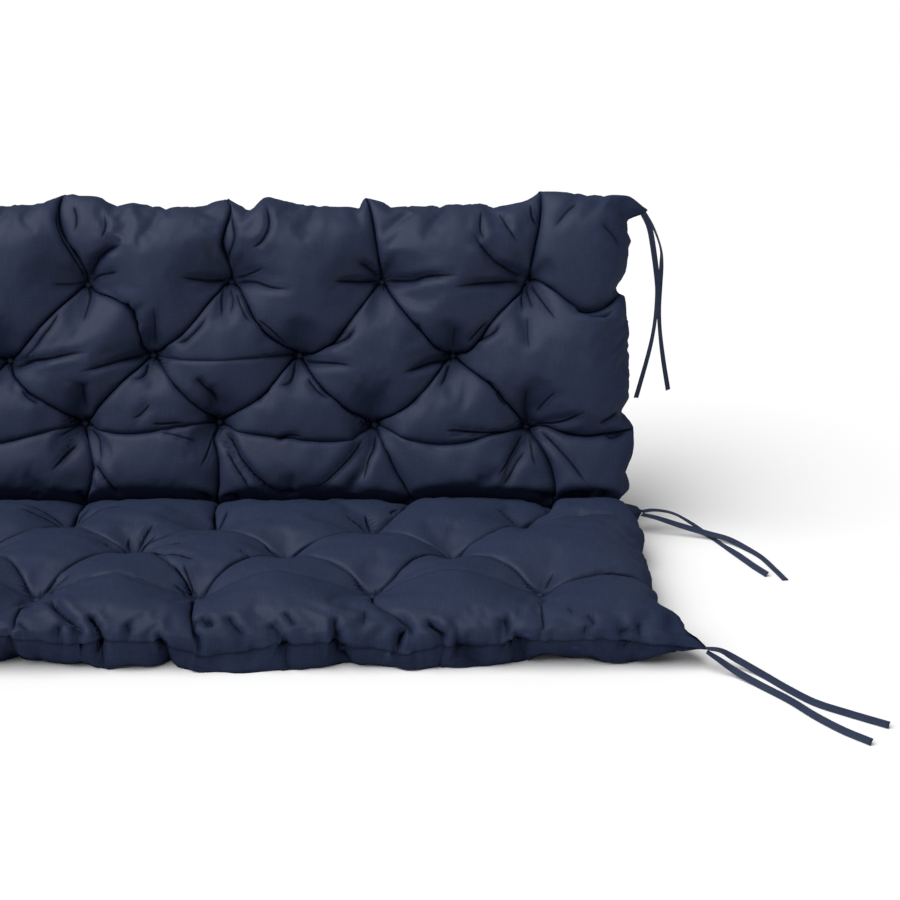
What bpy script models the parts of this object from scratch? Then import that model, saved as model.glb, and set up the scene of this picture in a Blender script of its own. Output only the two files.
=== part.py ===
"""Tufted bench cushion, seat and back in one padded cover, bent at its sewn fold.

The seat lies flat on the ground and the back leans away from it. X runs across the
cushion, -Y is the side a sitter faces, +Z is up. The fold between seat and back is
the line Y = FOLD_Y. Sizes are in metres.
"""

import math
from collections import namedtuple

import bmesh
import bpy
from mathutils import Vector, noise

# Overall sizes
HALF_WIDTH = 0.722
SEAT_DEPTH = 0.468
BACK_HEIGHT = 0.475
BACK_LEAN = math.radians(20.0)
FOLD_Y = 0.1418
CORE_HEIGHT = 0.034

# Filling: half the thickness at a full pillow, at the sewn edge and at the sewn fold
FRONT_CROWN = 0.045
UNDER_CROWN = 0.045
EDGE_HALF = 0.0016
FOLD_HALF = 0.0040
FRONT_EDGE_ROUND = 0.058
UNDER_EDGE_ROUND = 0.031
FOLD_ROUND = 0.052
FOLD_SLOPE = 1.20
UNEVEN = 0.07
UNEVEN_SCALE = 7.0

# Tufts, from the front edge of the seat to the top edge of the back. from_fold is
# negative on the seat. places are where the tufts sit across the width, nudges are how
# far each was pulled off its row, and leans are how far sideways its crease to the next
# edge or to the fold runs. Nudges and leans are in millimetres.
TuftRow = namedtuple("TuftRow", "name from_fold places nudges leans")
TUFT_ROWS = (
    TuftRow("seat_front", -0.340, (-0.566, -0.340, -0.112, 0.104, 0.335, 0.563),
            (2, 0, -4, -7, 3, 5), (6, 12, 5, -29, -14, -7)),
    TuftRow("seat_middle", -0.214, (-0.455, -0.230, -0.008, 0.212, 0.446),
            (0, 4, 14, -4, -5), ()),
    TuftRow("seat_rear", -0.115, (-0.566, -0.343, -0.117, 0.094, 0.328, 0.554),
            (3, -4, 12, -5, -14, 12), (-10, 8, 5, 12, 10, 8)),
    TuftRow("back_low", 0.135, (-0.568, -0.345, -0.117, 0.090, 0.326, 0.562),
            (0, 3, 4, 5, 1, -5), (-12, 14, 8, 0, 40, 38)),
    TuftRow("back_middle", 0.241, (-0.455, -0.231, -0.013, 0.213, 0.449),
            (0, -6, 1, 0, 0), ()),
    TuftRow("back_top", 0.354, (-0.566, -0.340, -0.112, 0.108, 0.340, 0.563),
            (0, 1, -3, 1, 1, 0), (-15, 18, -36, -5, -24, 20)),
)
MILLIMETRE = 0.001
HALF_PITCH = 0.1133
OUTER_TUFT = 5
NEIGHBOUR_REACH = 1.5 * HALF_PITCH
TUFT_PINCH = 0.75
TUFT_REACH = 0.032

# Creases between the tufts: how much of the thickness each takes, and how wide it is
Crease = namedtuple("Crease", "start end depth")
DIAGONAL_DEPTH = 0.42
EDGE_CREASE_DEPTH = 0.36
CROSS_CREASE_DEPTH = 0.30
CREASE_REACH = 0.024

# Creases that run along a row, from one tuft to the next: row name, first tuft, last tuft
ROW_CREASES = (
    ("back_low", 0, 5),
    ("back_middle", 1, 3),
    ("seat_rear", 1, 2),
    ("seat_front", 3, 4),
)

# Outline: the edge draws in where a crease meets it and stands out at the sewn corners
EDGE_MARGIN = 0.125
DRAW_IN = 0.017
DRAW_IN_REACH = 0.026
CORNER_REACH = 0.030
BACK_CORNER = (0.029, -0.010, 0.000)
SEAT_CORNER = (0.041, 0.010, -0.008)
FOLD_EAR = (0.016, 0.000, -0.006)
FOLD_EAR_REACH = 0.014

# Grid over the cover: cells between neighbouring rows, and from a tuft to the next half pitch
CELLS_TO_EDGE = 5
CELLS_ROW_TO_ROW = 5
CELLS_TO_FOLD = 6
CELLS_HALF_PITCH = 5
CELLS_SIDE_MARGIN = 7
EDGE_CROWDING = 1.55

# Tuft buttons, one in every tuft of the face
BUTTON_RADIUS = 0.0043
BUTTON_FLATTEN = 0.55
BUTTON_LIFT = 0.0048

# Ties: flat tape, two tails at each sewn corner and at each end of the fold. A route
# gives places from the fold line for the +X side, and the roll of the tape's flat in
# degrees. The ties of the other side are its mirror image.
TIE_WIDTH = 0.009
TIE_THICKNESS = 0.0016
TIE_STEP = 0.016
FINE_STEPS = 12
RoutePoint = namedtuple("RoutePoint", "x y z roll")
TIE_ROUTES = {
    "fold_upper": (
        (0.7400, 0.0010, 0.0325, 6), (0.7600, 0.0060, 0.0330, 4), (0.7890, 0.0060, 0.0275, 0),
        (0.8170, -0.0020, 0.0140, 0), (0.8420, -0.0250, 0.0020, 0), (0.8570, -0.0600, 0.0012, 0),
        (0.8730, -0.1060, 0.0036, 40), (0.8870, -0.1440, 0.0038, 48), (0.9010, -0.1760, 0.0038, 48),
    ),
    "fold_lower": (
        (0.7400, -0.0010, 0.0285, 6), (0.7610, -0.0110, 0.0270, 20), (0.7990, -0.0200, 0.0170, 45),
        (0.8370, -0.0330, 0.0098, 48), (0.8660, -0.0500, 0.0072, 40), (0.8880, -0.0750, 0.0034, 25),
        (0.9060, -0.1080, 0.0016, 8), (0.9170, -0.1520, 0.0013, 3), (0.9250, -0.1900, 0.0013, 3),
    ),
    "front_upper": (
        (0.7655, -0.4690, 0.0305, 0), (0.7850, -0.4620, 0.0240, 22), (0.8040, -0.4650, 0.0140, 50),
        (0.8340, -0.4900, 0.0048, 58), (0.8600, -0.5320, 0.0044, 58), (0.8850, -0.5660, 0.0044, 58),
        (0.9190, -0.5930, 0.0044, 55), (0.9600, -0.6220, 0.0043, 50),
    ),
    "front_lower": (
        (0.7655, -0.4710, 0.0270, 0), (0.7820, -0.4780, 0.0180, 22), (0.8020, -0.4920, 0.0085, 50),
        (0.8280, -0.5220, 0.0045, 60), (0.8550, -0.5600, 0.0045, 60), (0.8770, -0.5990, 0.0045, 60),
        (0.9020, -0.6340, 0.0044, 56), (0.9290, -0.6620, 0.0043, 52),
    ),
    "top_front": (
        (0.7530, 0.1540, 0.4630, 70), (0.7560, 0.1530, 0.4450, 78), (0.7600, 0.1525, 0.4190, 78),
        (0.7690, 0.1520, 0.3650, 70), (0.7705, 0.1520, 0.3360, 45), (0.7680, 0.1525, 0.2890, 35),
        (0.7610, 0.1540, 0.2430, 45), (0.7440, 0.1560, 0.1680, 55),
    ),
    "top_rear": (
        (0.7550, 0.1600, 0.4640, 40), (0.7650, 0.1610, 0.4430, 20), (0.7740, 0.1620, 0.4110, 25),
        (0.7765, 0.1630, 0.3840, 55), (0.7760, 0.1640, 0.3500, 65), (0.7760, 0.1640, 0.3130, 55),
        (0.7790, 0.1635, 0.2760, 50), (0.7860, 0.1630, 0.2300, 60), (0.7960, 0.1630, 0.1790, 65),
    ),
}
HANGING = ("top_front", "top_rear")
SIDES = {"left": -1.0, "right": 1.0}

NAVY = (0.026, 0.036, 0.070, 1.0)


def clear_scene():
    """Remove what the opened file holds."""
    for thing in list(bpy.data.objects):
        bpy.data.objects.remove(thing, do_unlink=True)


def make_collection(name):
    collection = bpy.data.collections.new(name)
    bpy.context.scene.collection.children.link(collection)
    return collection


def make_material(name, colour, roughness):
    material = bpy.data.materials.new(name)
    material.use_nodes = True
    shader = material.node_tree.nodes["Principled BSDF"]
    shader.inputs["Base Color"].default_value = colour
    shader.inputs["Roughness"].default_value = roughness
    shader.inputs["Metallic"].default_value = 0.0
    return material


def interpolate(value, knots, results):
    """Straight-line interpolation through a rising list of knots."""
    if value <= knots[0]:
        return results[0]
    for low, high, first, last in zip(knots, knots[1:], results, results[1:]):
        if value <= high:
            return first + (last - first) * (value - low) / (high - low)
    return results[-1]


def tuft_points():
    """Each tuft's flat place (across, from the fold), by row."""
    table = {}
    for row in TUFT_ROWS:
        table[row.name] = [
            (across, row.from_fold + nudge * MILLIMETRE) for across, nudge in zip(row.places, row.nudges)
        ]
    return table


TUFTS = tuft_points()
ALL_TUFTS = [place for row in TUFTS.values() for place in row]
CREASE_ENDS = {
    row.name: [across + lean * MILLIMETRE for across, lean in zip(row.places, row.leans)] for row in TUFT_ROWS
}


def crease_lines():
    """Creases on diagonals between neighbouring rows, to the edges, and along some rows."""
    lines = []
    for lower, upper in (("seat_front", "seat_middle"), ("seat_middle", "seat_rear"),
                         ("back_low", "back_middle"), ("back_middle", "back_top")):
        for one in TUFTS[lower]:
            for other in TUFTS[upper]:
                if abs(one[0] - other[0]) < NEIGHBOUR_REACH:
                    lines.append(Crease(one, other, DIAGONAL_DEPTH))
    edges = {"seat_front": -SEAT_DEPTH, "seat_rear": 0.0, "back_low": 0.0, "back_top": BACK_HEIGHT}
    for name, end in edges.items():
        for tuft, foot in zip(TUFTS[name], CREASE_ENDS[name]):
            lines.append(Crease(tuft, (foot, end), EDGE_CREASE_DEPTH))
        for across, along in (TUFTS[name][0], TUFTS[name][-1]):
            side_end = (math.copysign(HALF_WIDTH, across), along)
            lines.append(Crease((across, along), side_end, EDGE_CREASE_DEPTH))
    for name, first, last in ROW_CREASES:
        for one, other in zip(TUFTS[name][first:last], TUFTS[name][first + 1:last + 1]):
            lines.append(Crease(one, other, CROSS_CREASE_DEPTH))
    return lines


CREASES = crease_lines()


def distance_to_line(across, along, line):
    """Flat distance from a point to a crease."""
    (x0, y0), (x1, y1) = line.start, line.end
    run_x = x1 - x0
    run_y = y1 - y0
    share = ((across - x0) * run_x + (along - y0) * run_y) / (run_x * run_x + run_y * run_y)
    share = min(max(share, 0.0), 1.0)
    return math.hypot(across - x0 - share * run_x, along - y0 - share * run_y)


def rounded(distance, reach):
    """Quarter-round rise from 0 at the sewn line to 1 at its reach."""
    short = 1.0 - min(distance / reach, 1.0)
    return math.sqrt(max(1.0 - short * short, 0.0))


def pillow(across, along):
    """Share of the full thickness that the tufts and creases leave at a flat place."""
    tuft_gap = min(math.hypot(across - x, along - y) for x, y in ALL_TUFTS)
    pinch = TUFT_PINCH * math.exp(-tuft_gap / TUFT_REACH)
    for line in CREASES:
        pinch = max(pinch, line.depth * math.exp(-distance_to_line(across, along, line) / CREASE_REACH))
    return 1.0 - pinch


def half_thickness(across, along, crown, edge_round, seed):
    """Height of the cover over the middle of the filling."""
    side_gap = max(HALF_WIDTH - abs(across), 0.0)
    end_gap = SEAT_DEPTH + along if along < 0.0 else BACK_HEIGHT - along
    edge = rounded(side_gap, edge_round) * rounded(max(end_gap, 0.0), edge_round)
    fold = rounded(abs(along), FOLD_ROUND)
    lumps = 1.0 + UNEVEN * noise.noise(Vector((across, along, seed)) * UNEVEN_SCALE)
    return EDGE_HALF + (crown * lumps - EDGE_HALF) * edge * fold * pillow(across, along)


def cover_lift(across, along, under):
    """Height of the face, or minus the depth of the underside, over the middle of the filling."""
    if along == 0.0:
        lift = FOLD_HALF if abs(across) < HALF_WIDTH - EDGE_HALF else EDGE_HALF
    elif under:
        lift = half_thickness(across, along, UNDER_CROWN, UNDER_EDGE_ROUND, 3.0)
    else:
        lift = half_thickness(across, along, FRONT_CROWN, FRONT_EDGE_ROUND, 1.0)
        lift = min(lift, FOLD_HALF + FOLD_SLOPE * abs(along))
    return -lift if under else lift


def draw_in(across, along):
    """How far the sewn edge is pulled in, sideways and endways, where creases meet it."""
    end = BACK_HEIGHT if along > 0.0 else SEAT_DEPTH
    to_side = max(1.0 - (HALF_WIDTH - abs(across)) / (HALF_WIDTH - OUTER_TUFT * HALF_PITCH), 0.0)
    to_end = max(1.0 - (end - abs(along)) / EDGE_MARGIN, 0.0)
    outer = -1 if across > 0.0 else 0
    side_pulls = [TUFTS[name][outer][1] for name in ("seat_front", "seat_rear", "back_low", "back_top")]
    end_pulls = CREASE_ENDS["back_top" if along > 0.0 else "seat_front"]
    sideways = sum(math.exp(-abs(along - pull) / DRAW_IN_REACH) for pull in side_pulls)
    endways = sum(math.exp(-abs(across - pull) / DRAW_IN_REACH) for pull in end_pulls)
    return DRAW_IN * to_side * sideways, DRAW_IN * to_end * endways


def stand_out(across, along):
    """How far the sewn corners and the ends of the fold stand out: sideways, endways, up."""
    end = BACK_HEIGHT if along > 0.0 else SEAT_DEPTH
    side_gap = HALF_WIDTH - abs(across)
    corner = math.exp(-math.hypot(side_gap, end - abs(along)) / CORNER_REACH)
    ear = math.exp(-math.hypot(side_gap, along) / FOLD_EAR_REACH)
    reach = BACK_CORNER if along > 0.0 else SEAT_CORNER
    return [out * corner + fold * ear for out, fold in zip(reach, FOLD_EAR)]


def bend(across, along, lift):
    """Place a flat point, lifted off the middle of the filling, on the bent cushion."""
    in_x, in_y = draw_in(across, along)
    out_x, out_y, out_z = stand_out(across, along)
    seat_out = Vector((0.0, 0.0, 1.0))
    back_out = Vector((0.0, -math.cos(BACK_LEAN), math.sin(BACK_LEAN)))
    back_up = Vector((0.0, math.sin(BACK_LEAN), math.cos(BACK_LEAN)))
    side = math.copysign(1.0, across)
    place = Vector((across + side * (out_x - in_x), FOLD_Y, CORE_HEIGHT + out_z))
    if along > 0.0:
        place += back_up * (along + out_y - in_y) + back_out * lift
    elif along < 0.0:
        place += Vector((0.0, along - out_y + in_y, 0.0)) + seat_out * lift
    else:
        place += (seat_out + back_out).normalized() * lift
    place.z = max(place.z, 0.0)
    return place


def row_lines():
    """Lines across the cover from front edge to top edge, each with the cells up to it."""
    names = [row.name for row in TUFT_ROWS]
    order = ["front_edge"] + names[:3] + ["fold"] + names[3:] + ["top_edge"]
    cells = [0, CELLS_TO_EDGE, CELLS_ROW_TO_ROW, CELLS_ROW_TO_ROW, CELLS_TO_FOLD,
             CELLS_TO_FOLD, CELLS_ROW_TO_ROW, CELLS_ROW_TO_ROW, CELLS_TO_EDGE]
    return list(zip(order, cells))


def on_row(name, place, xs=None):
    """Flat point on a row at a place counted in half pitches from the middle."""
    row = TUFTS[name]
    spots = [2 * number - (len(row) - 1) for number in range(len(row))]
    xs = xs or [x for x, _ in row]
    ys = [y for _, y in row]
    if spots[-1] < OUTER_TUFT:
        spots = [-OUTER_TUFT] + spots + [OUTER_TUFT]
        xs = [xs[0] - HALF_PITCH] + xs + [xs[-1] + HALF_PITCH]
        ys = [ys[0]] + ys + [ys[-1]]
    across = interpolate(place, spots, xs)
    along = interpolate(place, spots, ys)
    beyond = abs(place) - OUTER_TUFT
    if beyond > 0.0:
        margin = HALF_WIDTH - abs(across)
        left = max(1.0 - beyond * CELLS_HALF_PITCH / CELLS_SIDE_MARGIN, 0.0)
        across = math.copysign(HALF_WIDTH - margin * left ** EDGE_CROWDING, across)
    return across, along


def on_line(name, place):
    """Flat point on a row, on the fold or on an edge."""
    if name == "fold":
        rear = on_row("seat_rear", place, CREASE_ENDS["seat_rear"])
        low = on_row("back_low", place, CREASE_ENDS["back_low"])
        return 0.5 * (rear[0] + low[0]), 0.0
    if name == "front_edge":
        return on_row("seat_front", place, CREASE_ENDS["seat_front"])[0], -SEAT_DEPTH
    if name == "top_edge":
        return on_row("back_top", place, CREASE_ENDS["back_top"])[0], BACK_HEIGHT
    return on_row(name, place)


def between(start, end, share):
    """Point at a share of the way from one flat point to another."""
    return start[0] + (end[0] - start[0]) * share, start[1] + (end[1] - start[1]) * share


def flat_grid():
    """Flat place of every grid point, as columns of points from front edge to top edge."""
    lines = row_lines()
    half = OUTER_TUFT * CELLS_HALF_PITCH + CELLS_SIDE_MARGIN
    columns = []
    for step in range(-half, half + 1):
        place = step / CELLS_HALF_PITCH
        column = [on_line(lines[0][0], place)]
        for (lower, _), (upper, cells) in zip(lines, lines[1:]):
            start = on_line(lower, place)
            end = on_line(upper, place)
            for cell in range(1, cells + 1):
                share = cell / cells
                if lower in ("front_edge", "fold"):
                    share = share ** EDGE_CROWDING
                if upper in ("top_edge", "fold"):
                    share = 1.0 - (1.0 - share) ** EDGE_CROWDING
                column.append(between(start, end, share))
        columns.append(column)
    return columns


def crease_direction(middle_x, middle_y):
    """1 or -1: which diagonal of a cell runs along the nearest tuft's creases."""
    nearest = min(ALL_TUFTS, key=lambda tuft: math.hypot(middle_x - tuft[0], middle_y - tuft[1]))
    return 1 if (middle_x - nearest[0]) * (middle_y - nearest[1]) > 0.0 else -1


def cushion_mesh():
    """A grid extruded to a slab, split along the creases, then moved to the filled form."""
    columns = flat_grid()
    count_x = len(columns) - 1
    count_y = len(columns[0]) - 1
    mesh = bmesh.new()
    bmesh.ops.create_grid(mesh, x_segments=count_x, y_segments=count_y, size=0.5)
    mesh.verts.ensure_lookup_table()
    level = mesh.verts.layers.int.new("under")
    slot_x = mesh.verts.layers.int.new("column")
    slot_y = mesh.verts.layers.int.new("line")
    for vert in mesh.verts:
        vert[slot_x] = round((vert.co.x + 0.5) * count_x)
        vert[slot_y] = round((vert.co.y + 0.5) * count_y)
    for face in list(mesh.faces):
        corners = {(vert[slot_x], vert[slot_y]): vert for vert in face.verts}
        low_x = min(key[0] for key in corners)
        low_y = min(key[1] for key in corners)
        first = columns[low_x][low_y]
        last = columns[low_x + 1][low_y + 1]
        if crease_direction(0.5 * (first[0] + last[0]), 0.5 * (first[1] + last[1])) > 0:
            ends = (corners[low_x, low_y], corners[low_x + 1, low_y + 1])
        else:
            ends = (corners[low_x + 1, low_y], corners[low_x, low_y + 1])
        bmesh.utils.face_split(face, ends[0], ends[1])
    grown = bmesh.ops.extrude_face_region(mesh, geom=list(mesh.faces), use_keep_orig=True)
    for piece in grown["geom"]:
        if isinstance(piece, bmesh.types.BMVert):
            piece[level] = 1
    for vert in mesh.verts:
        across, along = columns[vert[slot_x]][vert[slot_y]]
        vert.co = bend(across, along, cover_lift(across, along, vert[level]))
    bmesh.ops.recalc_face_normals(mesh, faces=mesh.faces)
    bmesh.ops.triangulate(mesh, faces=mesh.faces)
    return mesh


def add_object(name, mesh, material, collection):
    """Turn a bmesh into a named object with one material."""
    data = bpy.data.meshes.new(name)
    mesh.to_mesh(data)
    mesh.free()
    data.materials.append(material)
    thing = bpy.data.objects.new(name, data)
    collection.objects.link(thing)
    return thing


def add_button(name, across, along, material, collection):
    """Flattened ball that sits in a tuft's pit, square to its panel."""
    mesh = bmesh.new()
    bmesh.ops.create_uvsphere(mesh, u_segments=8, v_segments=4, radius=BUTTON_RADIUS)
    bmesh.ops.scale(mesh, verts=mesh.verts, vec=(1.0, 1.0, BUTTON_FLATTEN))
    button = add_object(name, mesh, material, collection)
    button.data.shade_smooth()
    button.location = bend(across, along, cover_lift(across, along, 0) + BUTTON_LIFT)
    if along > 0.0:
        button.rotation_euler.x = 0.5 * math.pi - BACK_LEAN
    return button


def smooth_route(points):
    """Even steps along a smooth curve through the route's points."""
    padded = [2.0 * points[0] - points[1]] + points + [2.0 * points[-1] - points[-2]]
    fine = []
    for before, start, end, after in zip(padded, padded[1:], padded[2:], padded[3:]):
        for step in range(FINE_STEPS):
            t = step / FINE_STEPS
            fine.append(0.5 * (2.0 * start + (end - before) * t
                               + (2.0 * before - 5.0 * start + 4.0 * end - after) * t * t
                               + (3.0 * start - before - 3.0 * end + after) * t * t * t))
    fine.append(points[-1])
    lengths = [0.0]
    for start, end in zip(fine, fine[1:]):
        lengths.append(lengths[-1] + (end - start).to_3d().length)
    count = max(round(lengths[-1] / TIE_STEP), 2)
    by_part = [[point[part] for point in fine] for part in range(4)]
    steps = [lengths[-1] * step / count for step in range(count + 1)]
    return [Vector([interpolate(at, lengths, part) for part in by_part]) for at in steps]


def tie_section(collection):
    """Outline of the tape, wide across and thin through, that every tie is swept with."""
    outline = bpy.data.curves.new("tie_section", "CURVE")
    outline.dimensions = "2D"
    spline = outline.splines.new("POLY")
    spline.points.add(3)
    for point, (across, through) in zip(spline.points, ((-1, -1), (-1, 1), (1, 1), (1, -1))):
        point.co = (0.5 * across * TIE_WIDTH, 0.5 * through * TIE_THICKNESS, 0.0, 1.0)
    spline.use_cyclic_u = True
    section = bpy.data.objects.new("tie_section", outline)
    section.hide_render = True
    section.display_type = "WIRE"
    collection.objects.link(section)
    return section


def add_tie(route_name, side_name, section, material, collection):
    """One tail of tape, swept along its route on one side of the cushion."""
    name = f"tie_{route_name}_{side_name}"
    side = SIDES[side_name]
    route = [RoutePoint(*row) for row in TIE_ROUTES[route_name]]
    steps = smooth_route([Vector((side * at.x, at.y + FOLD_Y, at.z, math.radians(at.roll))) for at in route])
    curve = bpy.data.curves.new(name, "CURVE")
    curve.dimensions = "3D"
    curve.twist_mode = "MINIMUM" if route_name in HANGING else "Z_UP"
    curve.bevel_mode = "OBJECT"
    curve.bevel_object = section
    curve.use_fill_caps = True
    spline = curve.splines.new("POLY")
    spline.points.add(len(steps) - 1)
    for point, (x, y, z, roll) in zip(spline.points, steps):
        point.co = (x, y, z, 1.0)
        point.tilt = side * roll
    curve.materials.append(material)
    tie = bpy.data.objects.new(name, curve)
    collection.objects.link(tie)
    return tie


def main():
    clear_scene()
    collection = make_collection("bench_cushion")
    guides = make_collection("guides")
    cover = make_material("cover_cloth", NAVY, 0.82)
    thread = make_material("button_cloth", NAVY, 0.78)
    tape = make_material("tie_tape", NAVY, 0.85)
    cushion = add_object("cushion", cushion_mesh(), cover, collection)
    cushion.data.shade_smooth()
    for row, tufts in TUFTS.items():
        for number, (across, along) in enumerate(tufts, 1):
            add_button(f"button_{row}_{number}", across, along, thread, collection)
    section = tie_section(guides)
    for side_name in SIDES:
        for route_name in TIE_ROUTES:
            add_tie(route_name, side_name, section, tape, collection)


main()
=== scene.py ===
"""Tufted bench cushion, dressed: padded cover, seams, tuft buttons and tape ties."""

import math
from collections import namedtuple

import bmesh
import bpy
import numpy as np
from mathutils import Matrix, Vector


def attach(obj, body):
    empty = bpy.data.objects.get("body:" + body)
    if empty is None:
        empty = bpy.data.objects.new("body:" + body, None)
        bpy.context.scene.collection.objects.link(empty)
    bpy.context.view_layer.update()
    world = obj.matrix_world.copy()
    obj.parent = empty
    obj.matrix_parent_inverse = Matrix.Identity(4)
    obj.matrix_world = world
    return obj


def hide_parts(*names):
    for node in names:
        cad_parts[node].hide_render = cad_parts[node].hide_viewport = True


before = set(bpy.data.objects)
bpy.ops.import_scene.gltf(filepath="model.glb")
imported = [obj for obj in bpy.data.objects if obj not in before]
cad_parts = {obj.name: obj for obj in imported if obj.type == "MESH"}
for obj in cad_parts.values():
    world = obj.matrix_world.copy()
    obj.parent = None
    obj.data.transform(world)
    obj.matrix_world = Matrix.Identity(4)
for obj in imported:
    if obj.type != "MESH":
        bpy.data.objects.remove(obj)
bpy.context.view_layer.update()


# Camera. A long lens in front of the cushion and to its right, looking down by 19 degrees,
# so that the left end of the cushion is outside the picture.
CAMERA_PLACE = (0.4221, -2.1844, 0.9497)
CAMERA_DOWN = math.radians(19.31)
CAMERA_TURN = math.radians(-0.53)
SENSOR_WIDTH = 36.0
FOCAL_LENGTH = 64.8


def placed(name, data):
    """An object of this data, linked to the scene."""
    made = bpy.data.objects.new(name, data)
    bpy.context.scene.collection.objects.link(made)
    return made


lens = bpy.data.cameras.new("photo_camera")
lens.sensor_width = SENSOR_WIDTH
lens.lens = FOCAL_LENGTH
camera = placed("photo_camera", lens)
camera.location = CAMERA_PLACE
camera.rotation_euler = (0.5 * math.pi - CAMERA_DOWN, 0.0, CAMERA_TURN)
bpy.context.scene.camera = camera


# Cloth finishes, for every piece below: a soft navy surface with a cool sheen, and sockets that
# add, multiply and mix as numbers do.
SPECULAR_LEVEL = 0.14
SPECULAR_TINT = (0.60, 0.75, 1.0, 1.0)
SHEEN_ROUGHNESS = 0.5
SHEEN_TINT = (0.55, 0.65, 0.85, 1.0)
COLOUR_RESULT = 2


class Cloth:
    """Builds one material's nodes; its sockets are wrapped as Value."""

    def __init__(self, name, roughness, sheen):
        self.material = bpy.data.materials.new(name)
        self.material.use_nodes = True
        self.tree = self.material.node_tree
        self.shader = self.tree.nodes["Principled BSDF"]
        self.shader.inputs["Roughness"].default_value = roughness
        self.shader.inputs["Specular IOR Level"].default_value = SPECULAR_LEVEL
        self.shader.inputs["Specular Tint"].default_value = SPECULAR_TINT
        self.shader.inputs["Sheen Weight"].default_value = sheen
        self.shader.inputs["Sheen Roughness"].default_value = SHEEN_ROUGHNESS
        self.shader.inputs["Sheen Tint"].default_value = SHEEN_TINT
        self.place = self.node("ShaderNodeTexCoord", output="Object")

    def node(self, kind, settings=(), output=0, **inputs):
        """Any node: its type, its settings, then the values or links of its sockets."""
        made = self.tree.nodes.new(kind)
        for key, value in dict(settings).items():
            setattr(made, key, value)
        for key, value in inputs.items():
            socket = made.inputs[int(key[1:])] if key[0] == "_" else made.inputs[key.replace("_", " ")]
            self.feed(socket, value)
        return Value(self, made.outputs[output])

    def feed(self, socket, value):
        if isinstance(value, Value):
            self.tree.links.new(value.socket, socket)
        else:
            socket.default_value = value

    def parts(self, vector):
        """The three parts of a vector."""
        split = self.node("ShaderNodeSeparateXYZ", _0=vector)
        return [Value(self, socket) for socket in split.socket.node.outputs]

    def attribute(self, name):
        """The three parts of a vertex attribute."""
        return self.parts(self.node("ShaderNodeAttribute", {"attribute_name": name}, output="Vector"))

    def noise(self, place, scale, detail=2.0, **others):
        return self.node("ShaderNodeTexNoise", Vector=place, Scale=scale, Detail=detail, **others)

    def colour_between(self, share, first, second):
        return self.node("ShaderNodeMix", {"data_type": "RGBA"}, COLOUR_RESULT, _0=share, _6=first, _7=second)

    def bump(self, height, distance, strength=1.0, under=None):
        inputs = {"Height": height, "Distance": distance, "Strength": strength}
        if under is not None:
            inputs["Normal"] = under
        return self.node("ShaderNodeBump", **inputs)

    def finish(self, **inputs):
        for key, value in inputs.items():
            self.feed(self.shader.inputs[key.replace("_", " ")], value)
        return self.material


class Value:
    """A socket that takes part in sums."""

    def __init__(self, cloth, socket):
        self.cloth = cloth
        self.socket = socket

    def maths(self, operation, first, second=0.0):
        return self.cloth.node("ShaderNodeMath", {"operation": operation}, _0=first, _1=second)

    def __add__(self, other):
        return self.maths("ADD", self, other)

    def __radd__(self, other):
        return self.maths("ADD", other, self)

    def __sub__(self, other):
        return self.maths("SUBTRACT", self, other)

    def __rsub__(self, other):
        return self.maths("SUBTRACT", other, self)

    def __mul__(self, other):
        return self.maths("MULTIPLY", self, other)

    def __rmul__(self, other):
        return self.maths("MULTIPLY", other, self)

    def __truediv__(self, other):
        return self.maths("DIVIDE", self, other)

    def __pow__(self, other):
        return self.maths("POWER", self, other)

    def size(self):
        return self.maths("ABSOLUTE", self)

    def fading(self, reach):
        """One at zero, and less and less over the reach."""
        return self.maths("EXPONENT", self * (-1.0 / reach))

    def clipped(self):
        """Kept between 0 and 1."""
        return self.cloth.node("ShaderNodeMapRange", _0=self)

    def rising(self, start, slope):
        """A mask that is 0 up to the start and rises by the slope to 1."""
        return ((self - start) * slope).clipped()


# Ties. Each is a tail of folded navy tape, 9 mm wide, sewn into a corner or into an end of
# the fold in pairs. They hang from the top corners and lie on the floor at the others.
FOLD_Y = 0.1418
TIE_WIDTH = 0.009
TIE_THICKNESS = 0.0016
TIE_STEP = 0.004
FINE_STEPS = 12
WELD = 0.00002
TAPE_DEEP = (0.0170, 0.0225, 0.0450, 1.0)
TAPE_PALE = (0.0300, 0.0390, 0.0720, 1.0)
TAPE_GRAIN = 900.0
TAPE_PATCHES = 40.0

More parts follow.
